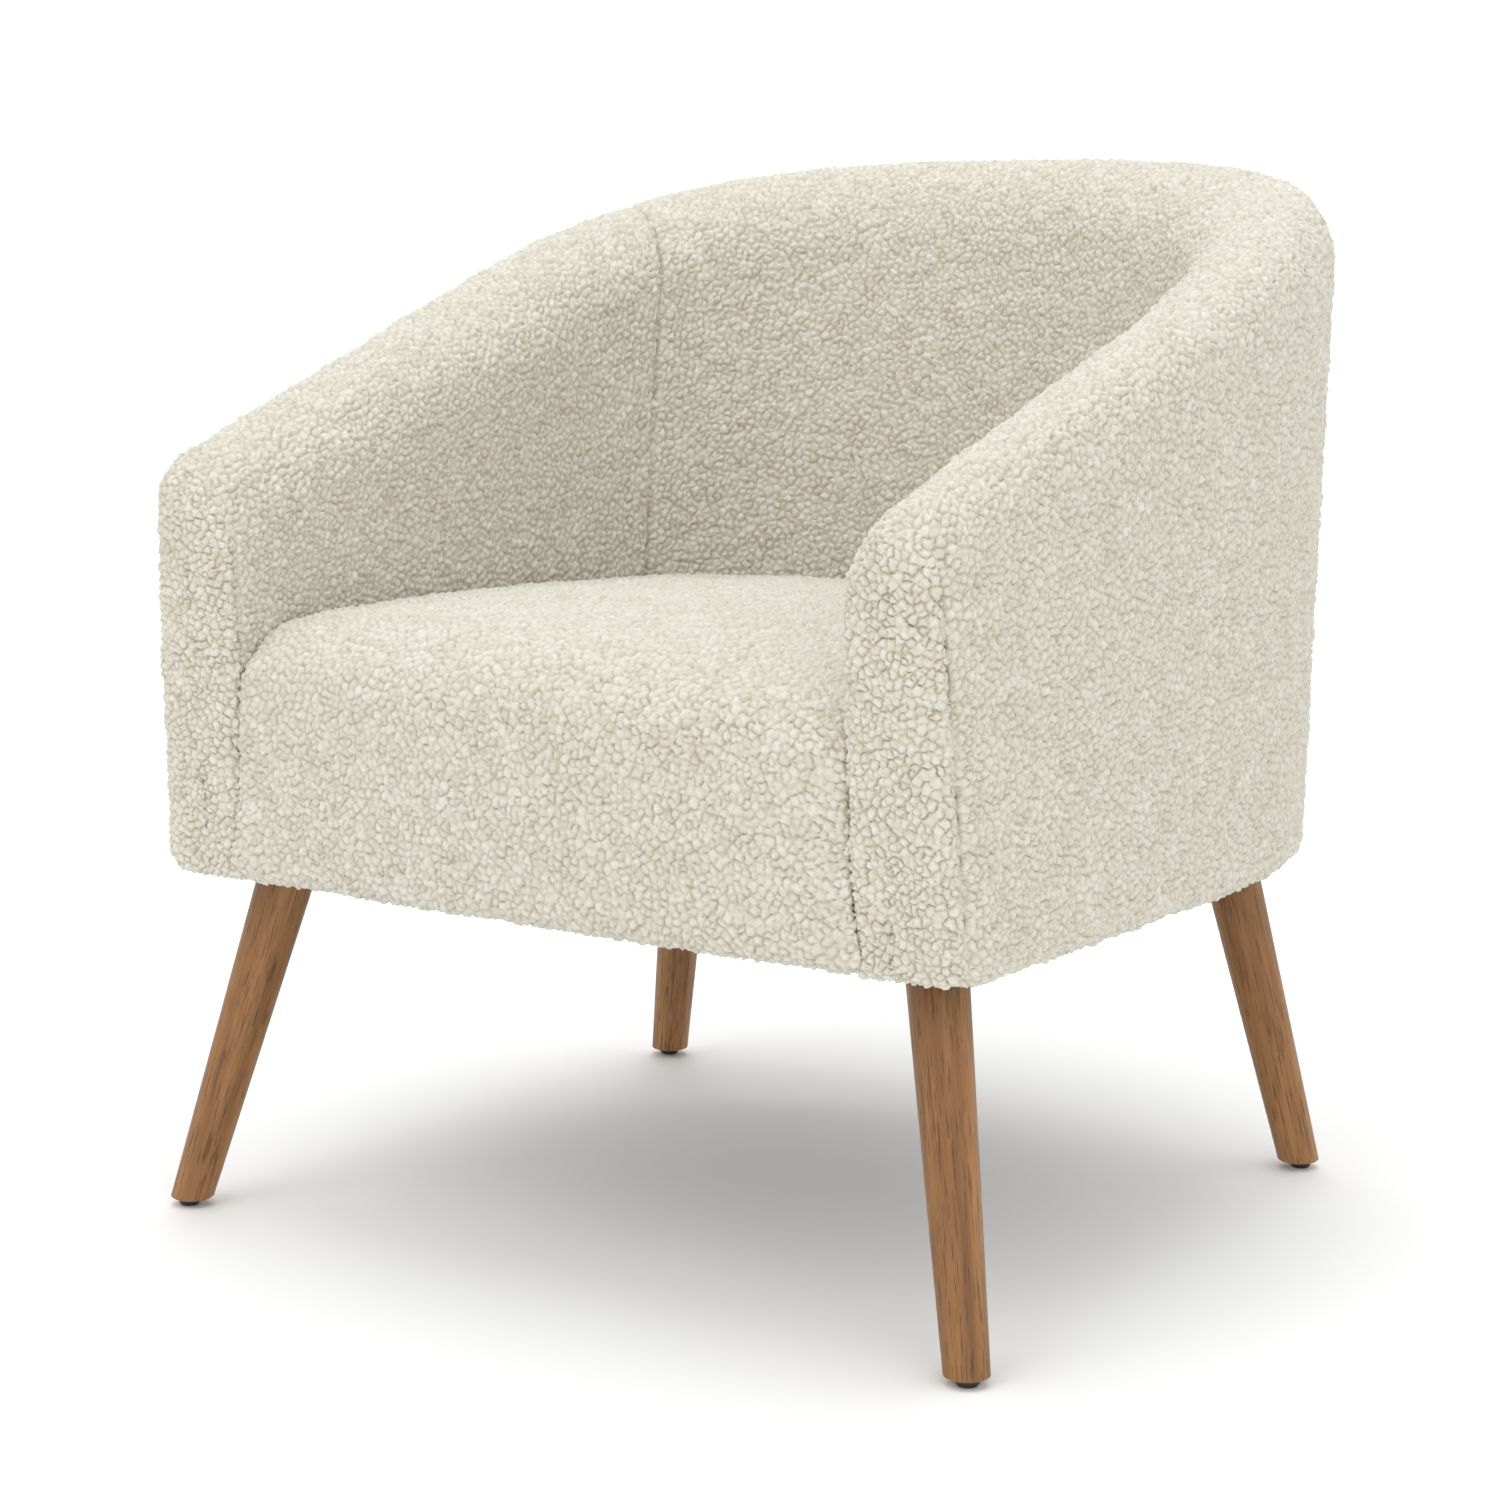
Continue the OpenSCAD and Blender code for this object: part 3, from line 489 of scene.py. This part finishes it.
class Panel:
    """A panel of the pile fabric: its visible grid of points, and the coarse grid of its hidden side.
    rolls are the depths of the seams along its first and last row and first and last column."""

    def __init__(self, name, base, under, spacing, rolls, nodes, fill, flip=False):
        self.name, self.base, self.under, self.rolls = name, base, under, rolls
        self.nodes, self.fill, self.flip = nodes, fill, flip
        self.spacing = np.broadcast_to(spacing, base.shape[:2])

    def seam_depth(self):
        """How far each point lies below the surface, where the panel dips into its seams, and the
        strength of the line along them, where the pile is flattened and a painted shade line is drawn."""
        rows = np.linalg.norm(np.diff(self.base, axis=0), axis=2)
        cols = np.linalg.norm(np.diff(self.base, axis=1), axis=2)
        u = np.concatenate([np.zeros((1, rows.shape[1])), np.cumsum(rows, 0)])
        v = np.concatenate([np.zeros((cols.shape[0], 1)), np.cumsum(cols, 1)], 1)
        depth, line = np.zeros(self.base.shape[:2]), np.zeros(self.base.shape[:2])
        for far, roll in zip((u, u[-1:] - u, v, v[:, -1:] - v), self.rolls):
            dip = 0.5 + 0.5 * np.cos(math.pi * np.clip(far / SEAM_W, 0, 1))
            depth = np.maximum(depth, roll * dip)
            line = np.maximum(line, np.clip(roll / SEAM_D, 0, 1) ** 2 * dip**6)
        return depth, line

    def build(self, pile, material):
        n, m = self.base.shape[:2]
        depth, seam = self.seam_depth()
        height, cleft, tint, uneven = (v.reshape(n, m) for v in pile.over(self.base.reshape(-1, 3)))
        up = PILE_H * self.spacing / CURL * height * (1 - SEAM_FLAT * seam) - PILE_SINK + uneven - depth
        top = self.base + normals(self.base, self.flip) * up[..., None]
        hem = self.base[..., 2] < BODY_Z + HEM_NEAR
        top[..., 2] = np.where(hem, np.maximum(top[..., 2], BODY_Z - PRESSED), top[..., 2])
        obj = closed_piece(self.name, top, self.under, self.flip)
        # deep and seam tell the material where it paints shade: between the curls and along the seams.
        for key, values in (("deep", cleft), ("tint", tint), ("seam", seam)):
            data = np.zeros(len(obj.data.vertices), np.float32)
            data[:n * m] = values.ravel()
            obj.data.attributes.new(key, "FLOAT", "POINT").data.foreach_set("value", data)
        finish_piece(obj, material, self.nodes)


def finish_piece(obj, material, nodes):
    obj.data.materials.append(material)
    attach(obj, "chair")
    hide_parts(*nodes)


def mirror_x(p):
    return p * np.array([-1, 1, 1])


# ---- Materials ----


class Nodes:
    """Short calls for building one material's node tree."""

    def __init__(self, name):
        self.material = bpy.data.materials.new(name)
        self.material.use_nodes = True
        self.tree = self.material.node_tree
        self.bsdf = self.tree.nodes["Principled BSDF"]

    def node(self, kind, **inputs):
        n = self.tree.nodes.new(kind)
        for key, value in inputs.items():
            self.put(n.inputs[key.replace("_", " ")], value)
        return n

    def put(self, socket, value):
        if isinstance(value, bpy.types.NodeSocket):
            self.tree.links.new(value, socket)
        else:
            socket.default_value = value

    def math(self, operation, a, b=0.0, clamp=False):
        n = self.tree.nodes.new("ShaderNodeMath")
        n.operation, n.use_clamp = operation, clamp
        self.put(n.inputs[0], a)
        self.put(n.inputs[1], b)
        return n.outputs[0]

    def mix(self, factor, a, b, blend="MIX"):
        n = self.tree.nodes.new("ShaderNodeMix")
        n.data_type, n.blend_type = "RGBA", blend
        self.put(n.inputs[0], factor)
        self.put(n.inputs[6], a)
        self.put(n.inputs[7], b)
        return n.outputs[2]

    def ramp(self, value, *stops):
        n = self.tree.nodes.new("ShaderNodeValToRGB")
        self.put(n.inputs[0], value)
        for i, (at, colour) in enumerate(stops):
            e = n.color_ramp.elements[i] if i < 2 else n.color_ramp.elements.new(at)
            e.position, e.color = at, (*colour, 1)
        return n.outputs[0]

    def noise(self, vector, scale, detail=3.0, rough=0.5):
        n = self.node("ShaderNodeTexNoise", Scale=scale, Detail=detail, Roughness=rough)
        self.put(n.inputs["Vector"], vector)
        return n.outputs["Fac"]

    def position(self, scale=(1, 1, 1), rotation=(0, 0, 0)):
        """The point in the object's own space, turned and then scaled."""
        at = self.tree.nodes.new("ShaderNodeTexCoord").outputs["Object"]
        turn = self.node("ShaderNodeMapping", Vector=at, Rotation=rotation)
        size = self.node("ShaderNodeMapping", Vector=turn.outputs[0], Scale=scale)
        return size.outputs[0]

    def attribute(self, name):
        n = self.tree.nodes.new("ShaderNodeAttribute")
        n.attribute_name = name
        return n.outputs["Fac"]

    def bump(self, height, strength, distance):
        n = self.node("ShaderNodeBump", Height=height, Strength=strength, Distance=distance)
        self.put(self.bsdf.inputs["Normal"], n.outputs[0])

    def surface(self, **values):
        for key, value in values.items():
            self.put(self.bsdf.inputs[key.replace("_", " ")], value)
        return self.material


def pile_fabric():
    """Ivory looped pile: matt wool curls, with painted shade, warmer and darker, between them and a
    broken painted shade line along the seams.
    """
    m = Nodes("ivory_pile")
    at = m.position()
    deep, tint = m.attribute("deep"), m.attribute("tint")
    curls = m.mix(tint, (0.665, 0.655, 0.575, 1), (0.785, 0.79, 0.73, 1))
    curls = m.mix(m.math("MULTIPLY", m.noise(at, 7.0), 0.6), curls, (0.70, 0.67, 0.575, 1))
    # Painted shade: the colour turns warmer and darker with the depth between curls.
    crease_shade = m.math("POWER", deep, 1.5)
    base = m.mix(m.math("MULTIPLY", crease_shade, 0.66), curls, (0.43, 0.315, 0.20, 1))
    # Painted shade: a broken dark line along the seams.
    broken = m.math("MULTIPLY", m.math("SUBTRACT", m.noise(at, 110.0), 0.40), 4.0, clamp=True)
    seam_shade = m.math("MULTIPLY", m.attribute("seam"), broken)
    base = m.mix(seam_shade, base, (0.17, 0.125, 0.085, 1))
    fibres = m.noise(at, 1400.0, 4.0, 0.65)
    loops = m.noise(at, 560.0, 2.0, 0.5)
    base = m.mix(m.math("MULTIPLY", m.math("SUBTRACT", 0.62, fibres, clamp=True), 1.1), base,
                 (0.50, 0.425, 0.32, 1))
    m.bump(m.math("ADD", m.math("MULTIPLY", fibres, 0.5), loops), 0.6, 0.0009)
    return m.surface(Base_Color=base, Roughness=0.95, Sheen_Weight=0.25, Sheen_Roughness=0.6,
                     Sheen_Tint=(1.0, 0.97, 0.90, 1), Specular_IOR_Level=0.12)


def leg_wood(name, axis):
    """Brown stained wood with a fine straight grain and short open pores along the leg."""
    m = Nodes(name)
    turn = Vector(axis).rotation_difference(Vector((0, 0, 1))).to_euler()
    at = m.position(scale=(1, 1, 0.045), rotation=turn)
    figure = m.noise(at, 62.0, 4.0, 0.62)
    streaks = m.noise(at, 260.0, 5.0, 0.7)
    fine = m.position(scale=(1, 1, 0.035), rotation=turn)
    pores = m.math("GREATER_THAN", m.noise(fine, 820.0, 2.0, 0.5), 0.60)
    colour = m.ramp(figure, (0.30, (0.185, 0.077, 0.025)), (0.52, (0.325, 0.153, 0.050)),
                    (0.74, (0.445, 0.224, 0.077)))
    colour = m.mix(m.math("MULTIPLY", m.math("SUBTRACT", streaks, 0.35, clamp=True), 1.7, clamp=True),
                   colour, (0.18, 0.080, 0.029, 1))
    colour = m.mix(m.math("MULTIPLY", pores, 0.7), colour, (0.075, 0.033, 0.013, 1))
    m.bump(m.math("SUBTRACT", m.math("MULTIPLY", streaks, 0.4), pores), 0.35, 0.0003)
    rough = m.math("MULTIPLY_ADD", streaks, 0.2)
    rough.node.inputs[2].default_value = 0.36
    return m.surface(Base_Color=colour, Roughness=rough, Specular_IOR_Level=0.4)


def bare_timber():
    m = Nodes("bare_timber")
    at = m.position(scale=(1, 0.08, 1))
    rings = m.noise(at, 60.0, 4.0, 0.6)
    colour = m.ramp(rings, (0.3, (0.50, 0.36, 0.21)), (0.6, (0.68, 0.53, 0.34)),
                    (0.8, (0.76, 0.62, 0.43)))
    m.bump(m.noise(at, 700.0), 0.4, 0.0004)
    return m.surface(Base_Color=colour, Roughness=0.75)


def hardboard():
    m = Nodes("hardboard")
    at = m.position()
    colour = m.ramp(m.noise(at, 350.0, 5.0, 0.7), (0.3, (0.22, 0.14, 0.08)), (0.7, (0.36, 0.25, 0.15)))
    m.bump(m.noise(at, 900.0), 0.3, 0.0003)
    return m.surface(Base_Color=colour, Roughness=0.7)


def zinc():
    m = Nodes("zinc_steel")
    at = m.position()
    colour = m.ramp(m.noise(at, 250.0, 4.0), (0.3, (0.55, 0.56, 0.58)), (0.7, (0.72, 0.73, 0.75)))
    rough = m.math("MULTIPLY_ADD", m.noise(at, 600.0), 0.25)
    rough.node.inputs[2].default_value = 0.25
    return m.surface(Base_Color=colour, Roughness=rough, Metallic=1.0)


def glide_plastic():
    m = Nodes("black_plastic")
    at = m.position()
    colour = m.ramp(m.noise(at, 400.0, 3.0), (0.3, (0.010, 0.010, 0.011)), (0.7, (0.025, 0.025, 0.026)))
    m.bump(m.noise(at, 2500.0, 2.0), 0.25, 0.0002)
    rough = m.math("MULTIPLY_ADD", m.noise(at, 300.0), 0.2)
    rough.node.inputs[2].default_value = 0.35
    return m.surface(Base_Color=colour, Roughness=rough)


def woven(name, dark, light, scale):
    """A plain weave of two tones."""
    m = Nodes(name)
    at = m.position(scale=(scale, scale, scale))
    warp = m.node("ShaderNodeTexWave", Scale=1.0, Distortion=0.6)
    weft = m.node("ShaderNodeTexWave", Scale=1.0, Distortion=0.6)
    weft.bands_direction = "Y"
    for w in (warp, weft):
        m.put(w.inputs["Vector"], at)
    cross = m.math("MULTIPLY", warp.outputs["Fac"], weft.outputs["Fac"])
    colour = m.ramp(cross, (0.1, dark), (0.8, light))
    m.bump(cross, 0.5, 0.0004)
    return m.surface(Base_Color=colour, Roughness=0.85)


def dust_fabric():
    """Black spun sheet with its pattern of small bonded dots."""
    m = Nodes("dust_fabric")
    at = m.position()
    dots = m.node("ShaderNodeTexVoronoi", Scale=650.0, Randomness=0.15)
    m.put(dots.inputs["Vector"], at)
    colour = m.ramp(dots.outputs["Distance"], (0.15, (0.012, 0.012, 0.013)),
                    (0.5, (0.040, 0.040, 0.042)))
    fibres = m.noise(at, 1500.0, 4.0, 0.7)
    m.bump(m.math("ADD", dots.outputs["Distance"], m.math("MULTIPLY", fibres, 0.6)), 0.5, 0.0003)
    return m.surface(Base_Color=colour, Roughness=0.8, Sheen_Weight=0.15)


# ---- Pieces ----


def panel_rows(section):
    """Number of mesh points along a section, measured on its middle column."""
    return grid_count(np.linalg.norm(np.diff(section[:, section.shape[1] // 2], axis=0), axis=1).sum())


def front_seam(base, q):
    """Depth of the seam beside an arm's front panel: shallow inside, and none over the rim."""
    inside = smooth((0.5 * (HALF_W + HALF_SEAT_W) - np.abs(base[..., 0])) / INSIDE_SEAM_W)
    fade = smooth((base[..., 2] - rim_at(q) + SEAM_FADE_Z) / SEAM_FADE_H)
    return SEAM_D * (1 - INSIDE_SEAM_LESS * inside) * (1 - fade)


def inside_panel(name, q, nodes):
    """Inside of the back or of an arm, carried over the rim down to the join outside."""
    section = rim_section(q, WALL_FOOT_Z, 0, 0, 0)
    rows = panel_rows(section)
    base = resample(section, rows)
    ends = [BACK_SEAM_SHARE * SEAM_D if abs(q[k]) < 1 else front_seam(base[:, [k]], q[k])
            for k in (0, -1)]
    rolls = (0, 0, *ends)
    hidden = rim_section(q[::COARSE], WALL_FOOT_Z, COVER_T + FOAM_T, RIM_FOAM_D, 2 * COVER_T)
    under = resample(hidden, (rows - 1) // COARSE + 1)
    high = smooth((base[..., 2] - rim_at(q)[None, :] + FINE_Z) / FINE_H)
    spacing = CURL_INSIDE + (CURL - CURL_INSIDE) * high
    return Panel(name, base, under, spacing, rolls, nodes, FILL_INSIDE)


def wall_panels():
    """The three inside panels, and the outside one, which shares their stations."""
    front = arm_q(PANEL_DEPTH)
    right, back, left = stations(-front, -SEAM_Q), stations(-SEAM_Q, SEAM_Q), stations(SEAM_Q, front)
    q = np.concatenate([right, back[1:-1], left])
    section = side_section(q, 0)
    rows = panel_rows(section)
    base = resample(section, rows)
    under = resample(side_section(q[::COARSE], COVER_T), (rows - 1) // COARSE + 1)
    ends = [front_seam(base[:, :1], q[0]), front_seam(base[:, -1:], q[-1])]
    return [
        inside_panel("inside_back_upholstery", back[::-1], ("inside_back_cover", "inside_back_foam")),
        inside_panel("inside_arm_upholstery_left", left[::-1],
                     ("inside_arm_cover_left", "inside_arm_foam_left")),
        inside_panel("inside_arm_upholstery_right", right[::-1],
                     ("inside_arm_cover_right", "inside_arm_foam_right")),
        Panel("outside_upholstery", base, under, CURL, (0, 0, *ends), ("outside_cover",), FILL_OUTSIDE),
    ]


def seat_panel():
    x = SEAT_HALF * np.linspace(-1, 1, grid_count(2 * SEAT_HALF))
    section = seat_section(x, 0)
    rows = panel_rows(section)
    base = resample(section, rows)
    side = np.clip((SEAT_HALF - np.abs(x)) / EDGE_W, 0, 1)
    dip = EDGE_DIP * (1 - np.sqrt(1 - (1 - side) ** 2))
    base[..., 2] -= dip[None, :] * smooth((base[..., 2] - EDGE_Z) / EDGE_H)
    behind = np.abs(face_y(base[..., 2])) + base[..., 1]
    reach = SEAT_PRESS + setback(CORNER_IN_R, behind)
    base[..., 0] += np.sign(x) * reach * smooth((np.abs(x) - SEAT_HALF + EDGE_W) / EDGE_W)
    under = resample(seat_section(x[::COARSE], COVER_T), (rows - 1) // COARSE + 1)
    seam = SEAT_SEAM_SHARE * SEAM_D
    return Panel("seat_upholstery", base, under, CURL, (seam, 0, seam, seam),
                 ("seat_cover", "seat_foam"), FILL_SEAT)


def arm_loop(q, raise_z):
    """The arm's closed outline at station q, from the middle of its lower edge."""
    zr, z0 = rim_at(q), BODY_Z + raise_z
    a, b, c = arc(24)[:, 0], arc(16)[:, 0], arc(10)[::-1, 0]
    rows = [
        (np.linspace(LOOP_START, 1 - LOOP_CORNER / WALL_T, 8), np.full(8, z0)),
        (np.full(40, 1.0), np.linspace(z0 + LOOP_CORNER, zr - RIM_IN_R, 40)),
        (CREST_W + (1 - CREST_W) * np.cos(a[1:]), zr - RIM_IN_R + RIM_IN_R * np.sin(a[1:])),
        (CREST_W - CREST_W * np.sin(b[1:]), zr - RIM_OUT_R + RIM_OUT_R * np.cos(b[1:])),
        (np.zeros(40), np.linspace(zr - RIM_OUT_R, z0 + TUCK_R, 42)[1:-1]),
        (TUCK_R * (1 - np.sin(c)) / WALL_T, z0 + TUCK_R - TUCK_R * np.cos(c)),
        (np.linspace(TUCK_R / WALL_T, LOOP_START, 8)[1:], np.full(7, z0)),
    ]
    w = np.concatenate([r[0] for r in rows])
    z = np.concatenate([r[1] for r in rows])
    return wall_pt(q, w, z)


def arm_front_base():
    """The padded panel on an arm's front, from behind its seam round the corner to the flat face."""
    around, out = grid_count(FACE_AROUND), grid_count(FACE_OUT)
    start = PANEL_DEPTH + FACE_START
    depths = [start * (1 - k) ** 2 for k in np.linspace(0, 1, out)]
    loops = np.stack([arm_loop(arm_q(d), float(setback(FACE_EDGE_R, d))) for d in depths], 1)
    loops = resample(loops, around, alike=True).transpose(1, 0, 2)
    rim = loops[-1]
    z = np.clip(rim[:, 2], BODY_Z + FACE_LOW, rim[:, 2].max() - FACE_HIGH)
    aside = rim[:, 0] - rim[:, 0].mean()
    x = rim[:, 0].mean() - FACE_LAP * np.clip(aside / FACE_LAP_W, -1, 1)
    middle = np.stack([x, face_y(z), z], -1)
    t = np.linspace(0, 1, grid_count(FACE_ACROSS))[1:, None, None]
    return np.concatenate([loops, rim[None] * (1 - t) + middle[None] * t])


def arm_front_panels():
    base = arm_front_base()
    back = base[0, ::COARSE] + np.array([0, FACE_BEHIND, 0])
    u = np.linspace(0, FACE_CLOSED, (len(base) - 1) // COARSE + 1)[:, None, None]
    under = back[None] * (1 - u) + back.mean(0) * u
    roll = FACE_ROLL + front_seam(base[:1], arm_q(PANEL_DEPTH))
    return [
        Panel("arm_front_upholstery_left", base, under, CURL, (roll, 0, 0, 0),
              ("arm_front_left",), FILL_FRONT),
        Panel("arm_front_upholstery_right", mirror_x(base), mirror_x(under), CURL, (roll, 0, 0, 0),
              ("arm_front_right",), FILL_FRONT, flip=True),
    ]


def dust_sheet(material):
    """Thin sheet stapled under the seat, a little slack between its staples."""
    lo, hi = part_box("dust_cover")
    n = 81
    t = np.linspace(-1, 1, n)
    x, y = np.meshgrid(t, t, indexing="ij")
    half_x, half_y = (hi.x - lo.x) / 2, (hi.y - lo.y) / 2
    px = x * half_x
    share = np.abs(px) / (HALF_W - DUST_SIDE_INSET)
    back = (BACK_Y - DUST_INSET) * lift(1 - lift(share, PLAN_N), 1 / PLAN_N)
    front = lo.y + DUST_CORNER * lift((np.abs(px) - half_x + DUST_CORNER) / DUST_CORNER, 1)
    py = front + (np.maximum(back, front + DUST_LEAST_Y) - front) * (y + 1) / 2
    rng = np.random.default_rng(5)
    flat = np.stack([px, py, np.zeros_like(px)], -1).reshape(-1, 3)
    slack = np.clip((1 - np.maximum(np.abs(x), np.abs(y))) * SLACK_STEEP, 0, 1).ravel()
    varied = SLACK_MEAN + (1 - SLACK_MEAN) * waves(flat, SLACK_LENGTH, rng)
    flat[:, 2] = lo.z - DUST_SLACK * slack * varied
    index = np.arange(n * n).reshape(n, n)
    obj = make_mesh("dust_sheet", flat, quads(index)[:, ::-1].tolist())
    finish_piece(obj, material, ("dust_cover",))


def paint(material, *names):
    """Gives CAD nodes a better material."""
    for name in names:
        for s in frame["nodes"][name].material_slots:
            s.material = material


def leg_axis(name):
    """Unit vector up a leg's axis, from the middle of its lower end to the middle of its upper end."""
    co = np.array([v.co for v in frame["nodes"][name].data.vertices])
    low = co[co[:, 2] < co[:, 2].min() + LEG_SLICE].mean(0)
    high = co[co[:, 2] > co[:, 2].max() - LEG_SLICE].mean(0)
    return (high - low) / np.linalg.norm(high - low)


def paint_frame():
    nodes = frame["nodes"]
    for name in nodes:
        if name.startswith("leg_"):
            paint(leg_wood("stained_" + name, leg_axis(name)), name)
    timber = [n for n in nodes if n.startswith("corner_block") or n.endswith("_rail") or "_rail_" in n
              or "_post_" in n or n == "back_slat"]
    paint(bare_timber(), *timber)
    paint(hardboard(), "outside_board", "inside_board")
    paint(zinc(), "hanger_bolts", "block_inserts", "glide_inserts", "staples",
          *[n for n in nodes if n.startswith("glide_stud")])
    paint(glide_plastic(), *[n for n in nodes if n.startswith("glide_pad")])
    paint(woven("webbing", (0.015, 0.015, 0.017), (0.07, 0.07, 0.075), 900.0),
          "seat_straps_long", "seat_straps_cross")


# ---- Stage ----


def floor():
    m = Nodes("pale_floor")
    colour = m.ramp(m.noise(m.position(), 3.0), (0.3, (0.95, 0.95, 0.95)), (0.7, (0.97, 0.97, 0.97)))
    m.surface(Base_Color=colour, Roughness=0.9, Specular_IOR_Level=0.1)
    size, curve_r, back = 8.0, 1.5, 3.5
    a = np.linspace(0, math.pi / 2, 16)
    profile = [(-size, 0.0), *[(back + curve_r * math.sin(t), curve_r * (1 - math.cos(t))) for t in a],
               (back + curve_r, size)]
    away = Vector(CAMERA_TOWARDS[:2]).normalized()
    side = Vector((away.y, -away.x))
    verts = [(*(away * d + side * s), z) for d, z in profile for s in (-size, size)]
    faces = [(2 * i, 2 * i + 1, 2 * i + 3, 2 * i + 2) for i in range(len(profile) - 1)]
    obj = make_mesh("floor", np.array(verts), faces)
    obj.data.materials.append(m.material)


def area_light(name, at, target, size, power, colour):
    light = bpy.data.lights.new(name, "AREA")
    light.shape, light.size, light.energy, light.color = "DISK", size, power, colour
    obj = bpy.data.objects.new(name, light)
    obj.location = at
    obj.rotation_euler = (Vector(target) - Vector(at)).to_track_quat("-Z", "Y").to_euler()
    bpy.context.scene.collection.objects.link(obj)


def lights():
    middle = (0, 0, 0.45)
    away = Vector(CAMERA_TOWARDS[:2]).normalized()
    area_light("key", (-0.5, -2.3, 2.7), middle, 2.2, 15, (1.0, 0.99, 0.97))
    area_light("overhead", (0.2, 0.0, 3.8), middle, 2.6, 31, (0.90, 1.0, 1.07))
    area_light("fill", (2.6, -2.2, 1.6), middle, 2.5, 15, (1.0, 0.99, 0.97))
    area_light("backdrop", (*(away * 2.6), 4.2), (*(away * 5.0), 1.6), 2.5, 60, (1.0, 1.0, 1.0))
    world = bpy.data.worlds.new("studio")
    bpy.context.scene.world = world
    world.use_nodes = True
    background = world.node_tree.nodes["Background"]
    background.inputs["Color"].default_value = (1.0, 0.99, 0.97, 1)
    background.inputs["Strength"].default_value = 0.95


def camera():
    data = bpy.data.cameras.new("camera")
    data.lens, data.sensor_width = LENS_MM, SENSOR_MM
    obj = bpy.data.objects.new("camera", data)
    obj.location = CAMERA_AT
    obj.rotation_euler = Vector(CAMERA_TOWARDS).to_track_quat("-Z", "Y").to_euler()
    bpy.context.scene.collection.objects.link(obj)
    bpy.context.scene.camera = obj
    bpy.context.scene.view_settings.view_transform = "Standard"


def main():
    camera()
    lights()
    floor()
    paint_frame()
    panels = [*wall_panels(), seat_panel(), *arm_front_panels()]
    pile = Pile(panels, np.random.default_rng(11))
    ivory = pile_fabric()
    for panel in panels:
        panel.build(pile, ivory)
    dust_sheet(dust_fabric())


main()
